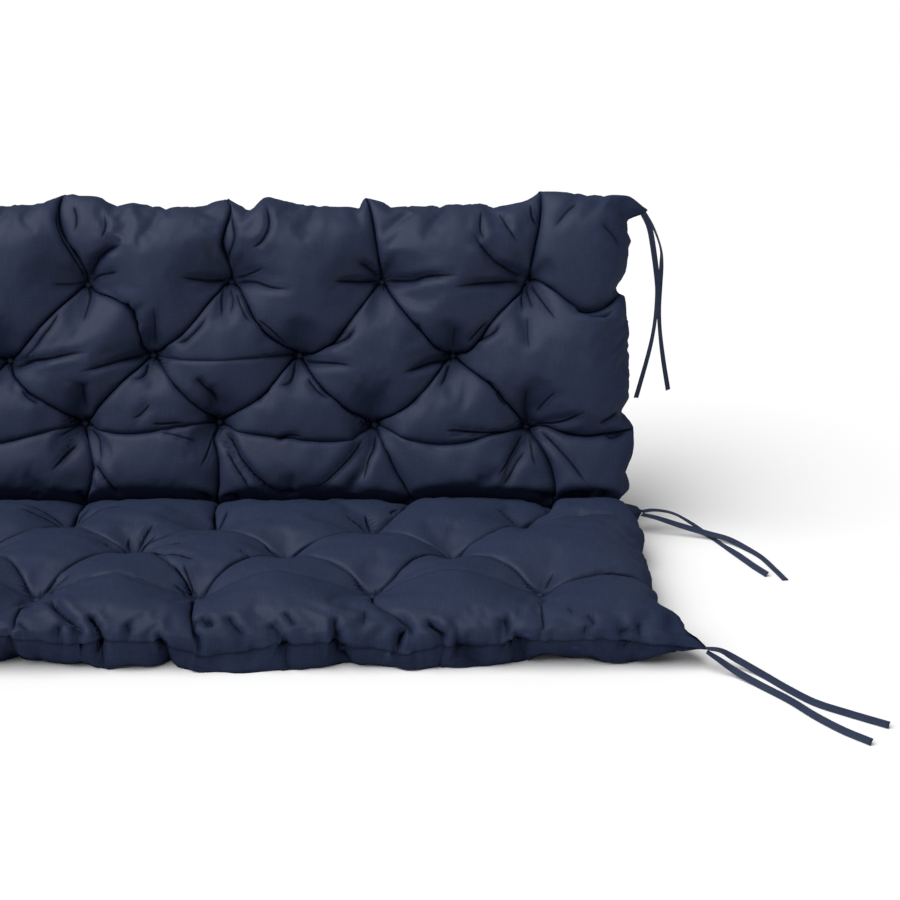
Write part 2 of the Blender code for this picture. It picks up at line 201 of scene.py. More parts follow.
# Places along each right-hand tail, from the fold's line, with the tape's roll in degrees
RoutePoint = namedtuple("RoutePoint", "x y z roll")
TIE_ROUTES = {
    "fold_upper": (
        (0.7400, 0.0010, 0.0325, 6), (0.7600, 0.0060, 0.0330, 4), (0.7890, 0.0060, 0.0275, 0),
        (0.8170, -0.0020, 0.0140, 0), (0.8420, -0.0250, 0.0020, 0), (0.8570, -0.0600, 0.0012, 0),
        (0.8730, -0.1060, 0.0036, 40), (0.8870, -0.1440, 0.0038, 48), (0.9010, -0.1760, 0.0038, 48),
    ),
    "fold_lower": (
        (0.7400, -0.0010, 0.0285, 6), (0.7610, -0.0110, 0.0270, 20), (0.7990, -0.0200, 0.0170, 45),
        (0.8370, -0.0330, 0.0098, 48), (0.8660, -0.0500, 0.0072, 40), (0.8880, -0.0750, 0.0034, 25),
        (0.9060, -0.1080, 0.0016, 8), (0.9170, -0.1520, 0.0013, 3), (0.9250, -0.1900, 0.0013, 3),
    ),
    "front_upper": (
        (0.7655, -0.4690, 0.0305, 0), (0.7850, -0.4620, 0.0240, 22), (0.8040, -0.4650, 0.0140, 50),
        (0.8340, -0.4900, 0.0048, 58), (0.8600, -0.5320, 0.0044, 58), (0.8850, -0.5660, 0.0044, 58),
        (0.9190, -0.5930, 0.0044, 55), (0.9600, -0.6220, 0.0043, 50),
    ),
    "front_lower": (
        (0.7655, -0.4710, 0.0270, 0), (0.7820, -0.4780, 0.0180, 22), (0.8020, -0.4920, 0.0085, 50),
        (0.8280, -0.5220, 0.0045, 60), (0.8550, -0.5600, 0.0045, 60), (0.8770, -0.5990, 0.0045, 60),
        (0.9020, -0.6340, 0.0044, 56), (0.9290, -0.6620, 0.0043, 52),
    ),
    "top_front": (
        (0.7425, 0.1550, 0.4680, 60), (0.7530, 0.1535, 0.4480, 78), (0.7600, 0.1525, 0.4190, 78),
        (0.7690, 0.1520, 0.3650, 70), (0.7705, 0.1520, 0.3360, 45), (0.7680, 0.1525, 0.2890, 35),
        (0.7610, 0.1540, 0.2430, 45), (0.7440, 0.1560, 0.1680, 55),
    ),
    "top_rear": (
        (0.7440, 0.1590, 0.4690, 50), (0.7610, 0.1605, 0.4440, 25), (0.7740, 0.1620, 0.4110, 25),
        (0.7765, 0.1630, 0.3840, 55), (0.7760, 0.1640, 0.3500, 65), (0.7760, 0.1640, 0.3130, 55),
        (0.7790, 0.1635, 0.2760, 50), (0.7860, 0.1630, 0.2300, 60), (0.7960, 0.1630, 0.1790, 65),
    ),
}
HANGING = ("top_front", "top_rear")
SIDES = {"left": -1.0, "right": 1.0}

# Half of the tape's section, in shares of its width and thickness: folded edges thicker than the middle
TAPE_HALF = (
    (-0.50, 0.00), (-0.47, 0.42), (-0.38, 0.50), (-0.28, 0.34), (0.00, 0.30), (0.28, 0.34), (0.38, 0.50),
    (0.47, 0.42),
)


def along_route(points):
    """Even steps along a smooth curve through the route's points."""
    padded = [2.0 * points[0] - points[1]] + points + [2.0 * points[-1] - points[-2]]
    fine = []
    for before, start, end, after in zip(padded, padded[1:], padded[2:], padded[3:]):
        for step in range(FINE_STEPS):
            t = step / FINE_STEPS
            fine.append(0.5 * (2.0 * start + (end - before) * t
                               + (2.0 * before - 5.0 * start + 4.0 * end - after) * t * t
                               + (3.0 * start - before - 3.0 * end + after) * t * t * t))
    fine.append(points[-1])
    fine = np.array([list(point) for point in fine])
    lengths = np.concatenate([[0.0], np.cumsum(np.linalg.norm(np.diff(fine[:, :3], axis=0), axis=1))])
    steps = np.linspace(0.0, lengths[-1], max(round(lengths[-1] / TIE_STEP), 2) + 1)
    return np.stack([np.interp(steps, lengths, fine[:, part]) for part in range(4)], axis=1), lengths[-1]


tape = Cloth("tie_tape", roughness=0.70, sheen=0.08)
tape_cloth = tape.finish(
    Base_Color=tape.colour_between(tape.noise(tape.place, TAPE_PATCHES), TAPE_DEEP, TAPE_PALE),
    Normal=tape.bump(tape.noise(tape.place, TAPE_GRAIN), distance=0.0003, strength=0.6),
)

outline = bpy.data.curves.new("tape_section", "CURVE")
outline.dimensions = "2D"
spline = outline.splines.new("POLY")
tape_section = TAPE_HALF + tuple((-across, -through) for across, through in TAPE_HALF)
spline.points.add(len(tape_section) - 1)
for point, (across, through) in zip(spline.points, tape_section):
    point.co = (across * TIE_WIDTH, through * TIE_THICKNESS, 0.0, 1.0)
spline.use_cyclic_u = True
section = bpy.data.objects.new("tape_section", outline)

for side_name, side in SIDES.items():
    for route_name, rows in TIE_ROUTES.items():
        name = f"tie_{route_name}_{side_name}"
        route = [RoutePoint(*row) for row in rows]
        steps, length = along_route(
            [Vector((side * at.x, at.y + FOLD_Y, at.z, math.radians(at.roll))) for at in route]
        )
        curve = bpy.data.curves.new(name, "CURVE")
        curve.dimensions = "3D"
        curve.twist_mode = "MINIMUM" if route_name in HANGING else "Z_UP"
        curve.bevel_mode = "OBJECT"
        curve.bevel_object = section
        curve.use_fill_caps = True
        spline = curve.splines.new("POLY")
        spline.points.add(len(steps) - 1)
        for point, (x, y, z, roll) in zip(spline.points, steps):
            point.co = (x, y, z, 1.0)
            point.tilt = side * roll
        swept = placed(name + "_sweep", curve)
        mesh = bpy.data.meshes.new_from_object(swept.evaluated_get(bpy.context.evaluated_depsgraph_get()))
        bpy.data.objects.remove(swept)
        welded = bmesh.new()
        welded.from_mesh(mesh)
        bmesh.ops.remove_doubles(welded, verts=welded.verts, dist=WELD)
        bmesh.ops.recalc_face_normals(welded, faces=welded.faces)
        welded.to_mesh(mesh)
        welded.free()
        mesh.shade_smooth()
        mesh.materials.clear()
        mesh.materials.append(tape_cloth)
        tail = placed(name + "_tape", mesh)
        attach(tail, "root")
        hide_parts(name)
bpy.data.objects.remove(section)


# Cover. Two panels of navy polyester, sewn round the edge and across the fold, filled with
# fibre and pulled together at 34 tufts. Spare cloth folds into creases between the tufts.
MILLIMETRE = 0.001
HALF_WIDTH = 0.722
SEAT_DEPTH = 0.468
BACK_HEIGHT = 0.475
BACK_LEAN = math.radians(20.0)
LEAN_SIN = math.sin(BACK_LEAN)
LEAN_COS = math.cos(BACK_LEAN)
CORE_HEIGHT = 0.034
FOLD_MIDDLE = np.array([0.0, FOLD_Y, CORE_HEIGHT])
HALF_PITCH = 0.1133
LONG_ROW = 6
SHORT_ROW = 5
OUTER_TUFT = (LONG_ROW - 1) * HALF_PITCH

# Rows across the cushion, front to back: place from the fold, and where the tufts or the ends of
# the creases lie across it, with each tuft's pull off its row, in millimetres
Row = namedtuple("Row", "from_fold across pulls side_end")
ROWS = {
    "front_edge": Row(-468, (-560, -389, -112, 117, 389, 560), (0, 0, 0, 0, 0, 0), -468),
    "seat_front": Row(-340, (-566, -340, -112, 104, 335, 563), (2, 0, -4, -7, 3, 5), -312),
    "seat_middle": Row(-214, (-455, -230, -8, 212, 446), (0, 4, 14, -4, -5), -205),
    "seat_rear": Row(-115, (-566, -343, -117, 94, 328, 554), (3, -4, 12, -5, -14, 12), -100),
    "fold": Row(0, (-600, -394, -110, 95, 394, 600), (0, 0, 0, 0, 0, 0), 0),
    "back_low": Row(135, (-568, -345, -117, 90, 326, 562), (0, 3, 4, 5, 1, -5), 123),
    "back_middle": Row(241, (-455, -231, -13, 213, 449), (0, -6, 1, 0, 0), 241),
    "back_top": Row(354, (-566, -340, -112, 108, 340, 563), (0, 1, -3, 1, 1, 0), 336),
    "top_edge": Row(475, (-583, -316, -148, 103, 316, 583), (0, 0, 0, 0, 0, 0), 475),
}
SEAMS = ("front_edge", "fold", "top_edge")

row_y = {name: row.from_fold * MILLIMETRE for name, row in ROWS.items()}
levels = np.array(list(row_y.values()))


def even_places(count):
    """Places across of a row's tufts on the even pattern."""
    return (2.0 * np.arange(count) - count + 1.0) * HALF_PITCH


def on_cloth(u, v):
    """Places on the cut cloth of places on the even pattern."""
    found = []
    for row in ROWS.values():
        spots = even_places(len(row.across))
        xs = np.array(row.across) * MILLIMETRE
        ys = (row.from_fold + np.array(row.pulls)) * MILLIMETRE
        if len(xs) == SHORT_ROW:
            spots = np.concatenate([[-OUTER_TUFT], spots, [OUTER_TUFT]])
            xs = np.concatenate([[xs[0] - HALF_PITCH], xs, [xs[-1] + HALF_PITCH]])
            ys = np.concatenate([[ys[0]], ys, [ys[-1]]])
        spots = np.concatenate([[-HALF_WIDTH], spots, [HALF_WIDTH]])
        xs = np.concatenate([[-HALF_WIDTH], xs, [HALF_WIDTH]])
        ys = np.concatenate([[row.side_end * MILLIMETRE], ys, [row.side_end * MILLIMETRE]])
        found.append((np.interp(u, spots, xs), np.interp(u, spots, ys)))
    found = np.array(found)
    position = np.interp(v, levels, np.arange(len(levels)))
    lower = np.minimum(np.floor(position).astype(int), len(levels) - 2)
    part = position - lower
    point = np.arange(len(u))
    return (found[lower, 0, point] * (1.0 - part) + found[lower + 1, 0, point] * part,
            found[lower, 1, point] * (1.0 - part) + found[lower + 1, 1, point] * part)


# Creases between tufts, and from a tuft to a seam: how far each one bows to the left of its run, at
# a quarter, a half and three quarters, in millimetres. The left end of the cushion mirrors the right.
ZIGZAG_BOWS = {
    ("back_middle", "back_top"): (
        (-4, -1, 0), (-10, -25, -14), (-7, -6, -1), (7, 9, 1), (-15, -13, -6), (8, 6, 4), (-10, -4, -3)),
    ("back_middle", "back_low"): (
        (-10, -8, -4), (0, -1, 2), (-1, -4, -3), (3, 8, 5), (-6, -8, -5), (4, 10, 8), (6, 9, 4)),
    ("seat_middle", "seat_rear"): (
        (-4, -6, -3), (5, 8, 4), (-4, -8, -5), (6, 8, 5), (-3, -6, -4), (6, 9, 5), (-5, -7, -3)),
    ("seat_middle", "seat_front"): (
        (6, 8, 3), (-4, -7, -4), (5, 4, 2), (-6, -9, -5), (3, 5, 4), (-9, -4, 5), (5, 7, 3)),
}
SEAM_BOWS = {
    ("back_top", "top_edge"): ((-4, 3, 8), (0, 4, -2), (-3, -4, -4), (-1, -2, -3)),
    ("back_low", "fold"): ((10, 12, 4), (-3, -1, -4), (5, 4, 4), (14, 17, 13)),
    ("seat_rear", "fold"): ((0, 0, 0), (0, 3, 2), (-11, -10, -4), (-8, -13, -8)),
    ("seat_front", "front_edge"): ((0, 0, 0), (-3, -3, -3), (-8, -13, 0), (0, 0, 0)),
}
SEAM_DEPTHS = {
    "back_top": (0.52, 0.50, 0.54, 0.52), "back_low": (0.50, 0.54, 0.54, 0.56),
    "seat_rear": (0.62, 0.80, 0.80, 0.80), "seat_front": (0.12, 0.44, 0.50, 0.08),
}
SIDE_BOWS = {
    "back_top": (-8, -28, -22), "back_low": (0, -4, 0), "seat_rear": (0, 4, 2), "seat_front": (2, 8, 6),
}

# Creases from one tuft of a row to the next: row, first tuft, depth as a share of the crown, bows
CROSS_BOWS = (
    ("back_low", 0, 0.40, (8, 21, 16)), ("back_low", 1, 0.40, (-24, -23, -10)),
    ("back_low", 2, 0.40, (-10, -9, -1)), ("back_low", 3, 0.42, (-13, -19, -21)),
    ("back_low", 4, 0.42, (-16, -21, -8)), ("back_middle", 2, 0.30, (-1, 0, 2)),
    ("seat_front", 1, 0.14, (4, 8, 5)), ("seat_front", 2, 0.12, (6, 9, 4)),
    ("seat_front", 3, 0.14, (4, 8, 5)), ("seat_front", 4, 0.14, (5, 8, 4)),
)
ZIGZAG_DEPTH = 0.60
SIDE_DEPTH = 0.48
OPEN_MIDDLE = 0.50
SEAM_MIDDLE = 0.95
FIRM_DEPTH = 0.5
CREASE_REACH = 0.011
SEAM_CREASE_REACH = 0.016
NEAREST_GAP = 0.0004

Crease = namedtuple("Crease", "start end depth middle bows")


def turned(bows):
    return tuple(-bow for bow in bows)


creases = []
for (middle, outer), visible in ZIGZAG_BOWS.items():
    bows = [turned(bow) for bow in reversed(visible[4:])] + list(visible)
    for number, bow in enumerate(bows):
        start = (even_places(SHORT_ROW)[number // 2], row_y[middle])
        end = (even_places(LONG_ROW)[(number + 1) // 2], row_y[outer])
        creases.append(Crease(start, end, ZIGZAG_DEPTH, OPEN_MIDDLE, bow))
for (name, seam), visible in SEAM_BOWS.items():
    bows = [turned(bow) for bow in reversed(visible[2:])] + list(visible)
    depths = SEAM_DEPTHS[name][:1:-1] + SEAM_DEPTHS[name]
    for place, bow, depth in zip(even_places(LONG_ROW), bows, depths):
        creases.append(Crease((place, row_y[name]), (place, row_y[seam]), depth, SEAM_MIDDLE, bow))
for name, visible in SIDE_BOWS.items():
    for side, bow in ((1.0, visible), (-1.0, turned(visible))):
        start = (side * OUTER_TUFT, row_y[name])
        creases.append(Crease(start, (side * HALF_WIDTH, row_y[name]), SIDE_DEPTH, SEAM_MIDDLE, bow))
for name, number, depth, bow in CROSS_BOWS:
    start, end = even_places(len(ROWS[name].across))[number:number + 2]
    creases.append(Crease((start, row_y[name]), (end, row_y[name]), depth, OPEN_MIDDLE, bow))
crease_starts = np.array([crease.start for crease in creases])
crease_runs = np.array([crease.end for crease in creases]) - crease_starts
crease_bows = np.array([crease.bows for crease in creases]) * MILLIMETRE
crease_depths = np.array([crease.depth for crease in creases])
crease_strengths = np.minimum(crease_depths / FIRM_DEPTH, 1.0)
crease_middles = np.array([crease.middle for crease in creases])
crease_reaches = np.where(crease_middles > OPEN_MIDDLE, SEAM_CREASE_REACH, CREASE_REACH)
crease_lefts = np.stack([-crease_runs[:, 1], crease_runs[:, 0]], axis=1)
crease_lefts /= np.linalg.norm(crease_lefts, axis=1)[:, None]
tuft_spots = np.array([(place, row_y[name]) for name, row in ROWS.items() if name not in SEAMS
                       for place in even_places(len(row.across))])


def crease_gaps(u, v):
    """Distance of each place from each crease on the even pattern, and the nearest share of its run."""
    from_x = u[None, :] - crease_starts[:, :1]
    from_y = v[None, :] - crease_starts[:, 1:]
    run_x, run_y = crease_runs[:, :1], crease_runs[:, 1:]
    shares = np.clip((from_x * run_x + from_y * run_y) / (run_x ** 2 + run_y ** 2), 0.0, 1.0)
    return np.hypot(from_x - shares * run_x, from_y - shares * run_y), shares


def nearness(gaps, power):
    """How much each crease counts at each place: all of it on its own line."""
    weights = np.maximum(gaps, NEAREST_GAP) ** -power
    return weights / weights.sum(axis=0)


def gaps_from_tufts(u, v):
    """Distance of each place from each tuft on the even pattern."""
    return np.hypot(u - tuft_spots[:, :1], v - tuft_spots[:, 1:])


# How the even pattern is drawn towards the creases, and how far their bows reach
CREASE_CROWDING = 0.45
CREASE_CROWDING_REACH = 0.016
CROWDING_FROM_SEAM = 0.010
BOW_REACH = 0.045
BOW_FROM_SEAM = 0.012
BOW_SPOTS = (0.25, 0.50, 0.75)
OWN_LINE = 4.0
SHARED_LINE = 2.0


def free_of_seams(u, v, reach):
    """Zero on a seam, one away from it: for moves across the sides, and for moves along them."""
    side = 1.0 - np.exp(-np.maximum(HALF_WIDTH - np.abs(u), 0.0) / reach)
    end = 1.0 - np.exp(-np.maximum(np.minimum(SEAT_DEPTH + v, BACK_HEIGHT - v), 0.0) / reach)
    return side, end * (1.0 - np.exp(-np.abs(v) / reach))


def crowded(u, v):
    """Even places drawn towards the creases, so that the cells are finest there."""
    gaps, shares = crease_gaps(u, v)
    pull = nearness(gaps, OWN_LINE) * CREASE_CROWDING * np.exp(-gaps / CREASE_CROWDING_REACH)
    near_x = crease_starts[:, :1] + shares * crease_runs[:, :1]
    near_y = crease_starts[:, 1:] + shares * crease_runs[:, 1:]
    side, end = free_of_seams(u, v, CROWDING_FROM_SEAM)
    return (u + side * (pull * (near_x - u)).sum(axis=0), v + end * (pull * (near_y - v)).sum(axis=0))


def bow_share(shares, spot):
    """One at a bow's own spot of the run, zero at its ends and at the other spots."""
    others = [other for other in (0.0, *BOW_SPOTS, 1.0) if other != spot]
    return math.prod(shares - other for other in others) / math.prod(spot - other for other in others)


def bowed(u, v, gaps, shares):
    """How far the bows of the creases move each place."""
    counts = nearness(gaps, SHARED_LINE) * np.exp(-(gaps / BOW_REACH) ** 2)
    size = counts * sum(crease_bows[:, [part]] * bow_share(shares, spot)
                        for part, spot in enumerate(BOW_SPOTS))
    side, end = free_of_seams(u, v, BOW_FROM_SEAM)
    return side * (size * crease_lefts[:, :1]).sum(axis=0), end * (size * crease_lefts[:, 1:]).sum(axis=0)


# Shape before the filling settles: the crown of the pillows, the half heights at the edge seam and
# the fold, how far each one's rounding reaches, and the pinch at the tufts and creases
CROWN = 0.045
EDGE_HALF = 0.0004
FOLD_HALF = 0.0040
FOLD_SLOPE = 1.4
FACE_EDGE_ROUND = 0.058
UNDER_EDGE_ROUND = 0.031
FOLD_ROUND = 0.040
TUFT_PINCH = 0.86
TUFT_REACH = 0.032
MIDDLE_REACH = 0.030
SMOOTH_FROM = 0.045
SMOOTH_OVER = 0.035
ON_LINE = 1e-6


def share_of(value, full):
    """From 0 to 1 as the value grows to its full size."""
    return np.clip(value / full, 0.0, 1.0)


def eased_share(share):
    """The same share, slow at both ends."""
    return share * share * (3.0 - 2.0 * share)


def rounded(distance, reach):
    """Quarter-round rise from 0 at a seam to 1 at its reach."""
    short = 1.0 - np.minimum(distance / reach, 1.0)
    return np.sqrt(np.maximum(1.0 - short ** 2, 0.0))


def front_smooth(v):
    """Share of a front crease that is left on the under panel: none by the front seam."""
    return eased_share(share_of(SEAT_DEPTH + v - SMOOTH_FROM, SMOOTH_OVER))


def filled_lift(u, v, gaps, edge_round, kept):
    """Height of a panel over the middle of the filling before the filling settles."""
    tuft_gap = gaps_from_tufts(u, v).min(axis=0)
    by_tuft = np.exp(-tuft_gap / MIDDLE_REACH)
    depths = crease_depths[:, None] * (by_tuft + crease_middles[:, None] * (1.0 - by_tuft))
    pinch = np.maximum(TUFT_PINCH * np.exp(-tuft_gap / TUFT_REACH),
                       kept * (depths * np.exp(-gaps / crease_reaches[:, None])).max(axis=0))
    side_gap = np.maximum(HALF_WIDTH - np.abs(u), 0.0)
    end_gap = np.maximum(np.where(v < 0.0, SEAT_DEPTH + v, BACK_HEIGHT - v), 0.0)
    shape = rounded(side_gap, edge_round) * rounded(end_gap, edge_round) * rounded(np.abs(v), FOLD_ROUND)
    lift = EDGE_HALF + (CROWN - EDGE_HALF) * shape * (1.0 - pinch)
    inside = (side_gap > ON_LINE) & (end_gap > ON_LINE)
    return np.where((np.abs(v) < ON_LINE) & inside, FOLD_HALF, lift)


# Places where the seam stands out (plus) or draws in, in millimetres: along the top edge by
# place across, along the sides by place from the fold, and the front seam's rise
TOP_EDGE = (
    (-0.722, -9), (-0.706, 11), (-0.660, 13), (-0.590, 14), (-0.560, 2), (-0.500, -4), (-0.440, 0),
    (-0.400, 4), (-0.350, 12), (-0.320, 6), (-0.290, -6), (-0.249, -2), (-0.183, 3), (-0.146, 15),
    (-0.095, 12), (-0.067, -2), (-0.045, 4), (0.007, -4), (0.061, -2), (0.102, 9), (0.138, -9),
    (0.163, 12), (0.215, 1), (0.304, -7), (0.311, 8), (0.326, 8), (0.357, -3), (0.445, -1), (0.490, 2),
    (0.512, -3), (0.556, 3), (0.587, 18), (0.659, 15), (0.706, 11), (0.722, -9),
)
SIDE_EDGE = (
    (-0.469, 49), (-0.449, 34), (-0.386, 8), (-0.312, -8), (-0.286, -3), (-0.235, 1), (-0.170, -1),
    (-0.125, 7), (-0.078, 4), (-0.030, -4), (0.000, 22), (0.0165, -24), (0.0385, -3), (0.065, -6),
    (0.097, 4), (0.133, 3), (0.156, -12), (0.176, -1), (0.202, 0), (0.283, -1), (0.332, -8),
    (0.340, -22), (0.368, -5), (0.420, 3), (0.457, -3), (0.4615, 18), (0.468, 29), (0.475, 31),
)
FRONT_RISE = (
    (-0.722, -6), (-0.664, 6), (-0.600, 8), (-0.520, 2), (-0.430, -4), (-0.370, -8), (-0.300, 2),
    (-0.222, 6), (-0.180, 12), (-0.129, 17), (-0.060, 7), (-0.034, 4), (-0.005, 10), (0.051, 7),
    (0.071, 8), (0.087, 0), (0.123, -12), (0.185, -6), (0.222, 3), (0.287, 4), (0.302, 0), (0.355, -4),
    (0.374, -10), (0.428, -2), (0.501, 2), (0.520, 9), (0.600, 7), (0.664, 7), (0.722, -6),
)
EDGE_SPREAD = 0.030


def bent(x, y, lift):
    """Places on the bent cushion of flat places lifted off the middle of the filling."""
    side_gap = np.maximum(HALF_WIDTH - np.abs(x), 0.0)
    end_gap = np.maximum(np.where(y < 0.0, SEAT_DEPTH + y, BACK_HEIGHT - y), 0.0)
    side_out = np.interp(y, *np.array(SIDE_EDGE).T) * MILLIMETRE
    top_out = np.interp(x, *np.array(TOP_EDGE).T) * MILLIMETRE
    rise = np.interp(x, *np.array(FRONT_RISE).T) * MILLIMETRE
    top = np.where(y > 0.0, top_out * np.exp(-end_gap / EDGE_SPREAD), 0.0)
    front = np.where(y < 0.0, rise * np.exp(-end_gap / EDGE_SPREAD), 0.0)
    up = y + top
    middle = 0.25 * math.pi - 0.5 * BACK_LEAN
    on_fold = np.abs(y) < ON_LINE
    depth = np.where(y > 0.0, up * LEAN_SIN - lift * LEAN_COS, y)
    height = np.where(y > 0.0, up * LEAN_COS + lift * LEAN_SIN, lift + front)
    depth = np.where(on_fold, -lift * math.sin(middle), depth)
    height = np.where(on_fold, lift * math.cos(middle), height)
    across = x + np.sign(x) * side_out * np.exp(-side_gap / EDGE_SPREAD)
    return np.stack([across, FOLD_Y + depth, CORE_HEIGHT + height], axis=1)


def read(mesh_data, attribute=None):
    """Vertex places, or a vertex attribute, as an array."""
    values = np.empty(len(mesh_data.vertices) * 3, np.float32)
    if attribute:
        mesh_data.attributes[attribute].data.foreach_get("vector", values)
    else:
        mesh_data.vertices.foreach_get("co", values)
    return values.reshape(-1, 3).astype(float)


def write(mesh_data, values, attribute=None):
    if attribute:
        mesh_data.attributes[attribute].data.foreach_set("vector", values.astype(np.float32).ravel())
    else:
        mesh_data.vertices.foreach_set("co", values.astype(np.float32).ravel())
    mesh_data.update()


# The sewing grid: even columns between the tufts, finer towards the seams. Its cells: half a pitch,
# the side, front and top margins, the rows beside the fold, and how they crowd towards the seams
CELLS_HALF_PITCH = 13
CELLS_SIDE = 16
CELLS_EDGE = 14
CELLS_FOLD = 13
CROWDING = 1.25
cells_to_outer = (LONG_ROW - 1) * CELLS_HALF_PITCH
inner = np.arange(-cells_to_outer, cells_to_outer + 1) / CELLS_HALF_PITCH * HALF_PITCH
margin = (HALF_WIDTH - OUTER_TUFT) * (1.0 - np.arange(1, CELLS_SIDE + 1) / CELLS_SIDE) ** CROWDING
columns = np.concatenate([(margin - HALF_WIDTH)[::-1], inner, HALF_WIDTH - margin])
row_cells = [CELLS_EDGE, CELLS_HALF_PITCH, CELLS_HALF_PITCH, CELLS_FOLD,
             CELLS_FOLD, CELLS_HALF_PITCH, CELLS_HALF_PITCH, CELLS_EDGE]
lines = [levels[0]]
for lower, upper, (start, end), cells in zip(ROWS, list(ROWS)[1:], zip(levels, levels[1:]), row_cells):
    share = np.arange(1, cells + 1) / cells
    if lower in SEAMS:
        share = share ** CROWDING
    if upper in SEAMS:
        share = 1.0 - (1.0 - share) ** CROWDING
    lines.extend(start + (end - start) * share)
lines = np.array(lines)

# The face panel, and the under panel grown from it: the third number of grid_place is 0 on the face,
# 1 underneath and halfway between where the seam is subdivided
mesh = bmesh.new()
bmesh.ops.create_grid(mesh, x_segments=len(columns) - 1, y_segments=len(lines) - 1, size=0.5)
grid_place = mesh.verts.layers.float_vector.new("grid_place")
pattern = mesh.verts.layers.float_vector.new("pattern")
mesh.verts.layers.float_vector.new("cloth_place")
for vert in mesh.verts:
    column = round((vert.co.x + 0.5) * (len(columns) - 1))
    line = round((vert.co.y + 0.5) * (len(lines) - 1))
    vert[grid_place] = (column, line, 0.0)
    vert[pattern] = (columns[column], lines[line], 0.0)
grown = bmesh.ops.extrude_face_region(mesh, geom=list(mesh.faces), use_keep_orig=True)
for piece in grown["geom"]:
    if isinstance(piece, bmesh.types.BMVert):
        piece[grid_place].z = 1.0


def sewing_order(part):
    """A number for an edge or a face, from its vertices, that is the same in each run."""
    number = 0
    for index in sorted(vert.index for vert in part.verts)[:3]:
        number = number * len(mesh.verts) + index
    return number


# Extruding leaves edges and faces in another order each run, and the filling's small folds follow it
mesh.verts.index_update()
mesh.edges.sort(key=sewing_order)
mesh.faces.sort(key=sewing_order)
sewn = bpy.data.meshes.new("cover")
mesh.to_mesh(sewn)
ends = np.empty(len(sewn.edges) * 2, np.int32)
sewn.edges.foreach_get("vertices", ends)
sewn.edges.foreach_set("vertices", np.sort(ends.reshape(-1, 2)).ravel())
mesh.free()

even = read(sewn, "pattern")
u, v = crowded(even[:, 0], even[:, 1])
under = read(sewn, "grid_place")[:, 2] > 0.5
gaps, shares = crease_gaps(u, v)
x, y = on_cloth(u, v)
move_x, move_y = bowed(u, v, gaps, shares)
x, y = x + move_x, y + move_y
lift = np.where(under, -filled_lift(u, v, gaps, UNDER_EDGE_ROUND, front_smooth(v)),
                filled_lift(u, v, gaps, FACE_EDGE_ROUND, 1.0))
lift = np.where(under, lift, np.minimum(lift, FOLD_HALF + FOLD_SLOPE * np.abs(y)))
places = bent(x, y, lift)
places[:, 2] = np.maximum(places[:, 2], 0.0)
write(sewn, np.stack([u, v, 0.0 * u], axis=1), "pattern")
write(sewn, np.stack([x, y, 0.0 * x], axis=1), "cloth_place")
write(sewn, places)

outward = bmesh.new()
outward.from_mesh(sewn)
bmesh.ops.recalc_face_normals(outward, faces=outward.faces)
if outward.calc_volume(signed=True) < 0.0:
    bmesh.ops.reverse_faces(outward, faces=outward.faces)
outward.to_mesh(sewn)
outward.free()


# Filling: how hard it pushes, how much cloth is spare in the coarse and the fine run, how firmly the
# creases and edges are held, and how near a tuft or a corner's tip a place is held fast
PRESSURE = 12.0
SPARE_CLOTH = 0.06
FINE_SPARE_CLOTH = 0.03
COARSE_FRAMES = 14
FINE_FRAMES = 6
CREASE_HOLD = 0.35
EDGE_HOLD = 0.6
ON_CREASE = 0.0008
ON_SEAM = 1e-5
TUFT_HELD = 0.0030
TIP_HELD = 0.030


def inflate(cover, weights, spare, frames):
    """Let the filling push the cover out, held where weights say, and keep the result."""
    held = cover.vertex_groups.new(name="held")
    for level in sorted(set(np.round(weights[weights > 0.0], 2))):
        chosen = np.nonzero(np.round(weights, 2) == level)[0]
        held.add([int(number) for number in chosen], float(level), "REPLACE")
    cloth = cover.modifiers.new("filling", "CLOTH")
    cloth.settings.quality = 6
    cloth.settings.mass = 0.15
    cloth.settings.tension_stiffness = 40.0
    cloth.settings.compression_stiffness = 40.0
    cloth.settings.shear_stiffness = 10.0
    cloth.settings.bending_stiffness = 0.15
    cloth.settings.air_damping = 2.0
    cloth.settings.vertex_group_mass = "held"
    cloth.settings.pin_stiffness = 1.0
    cloth.settings.shrink_min = -spare
    cloth.settings.use_pressure = True
    cloth.settings.uniform_pressure_force = PRESSURE
    cloth.settings.effector_weights.gravity = 0.0
    cloth.collision_settings.use_collision = False
    cloth.point_cache.frame_start = 1
    cloth.point_cache.frame_end = frames
    for frame_number in range(1, frames + 1):
        bpy.context.scene.frame_set(frame_number)
    settled = bpy.data.meshes.new_from_object(cover.evaluated_get(bpy.context.evaluated_depsgraph_get()))
    places = read(settled)
    bpy.data.meshes.remove(settled)
    cover.modifiers.remove(cloth)
    cover.vertex_groups.remove(held)
    bpy.context.scene.frame_set(1)
    write(cover.data, places)


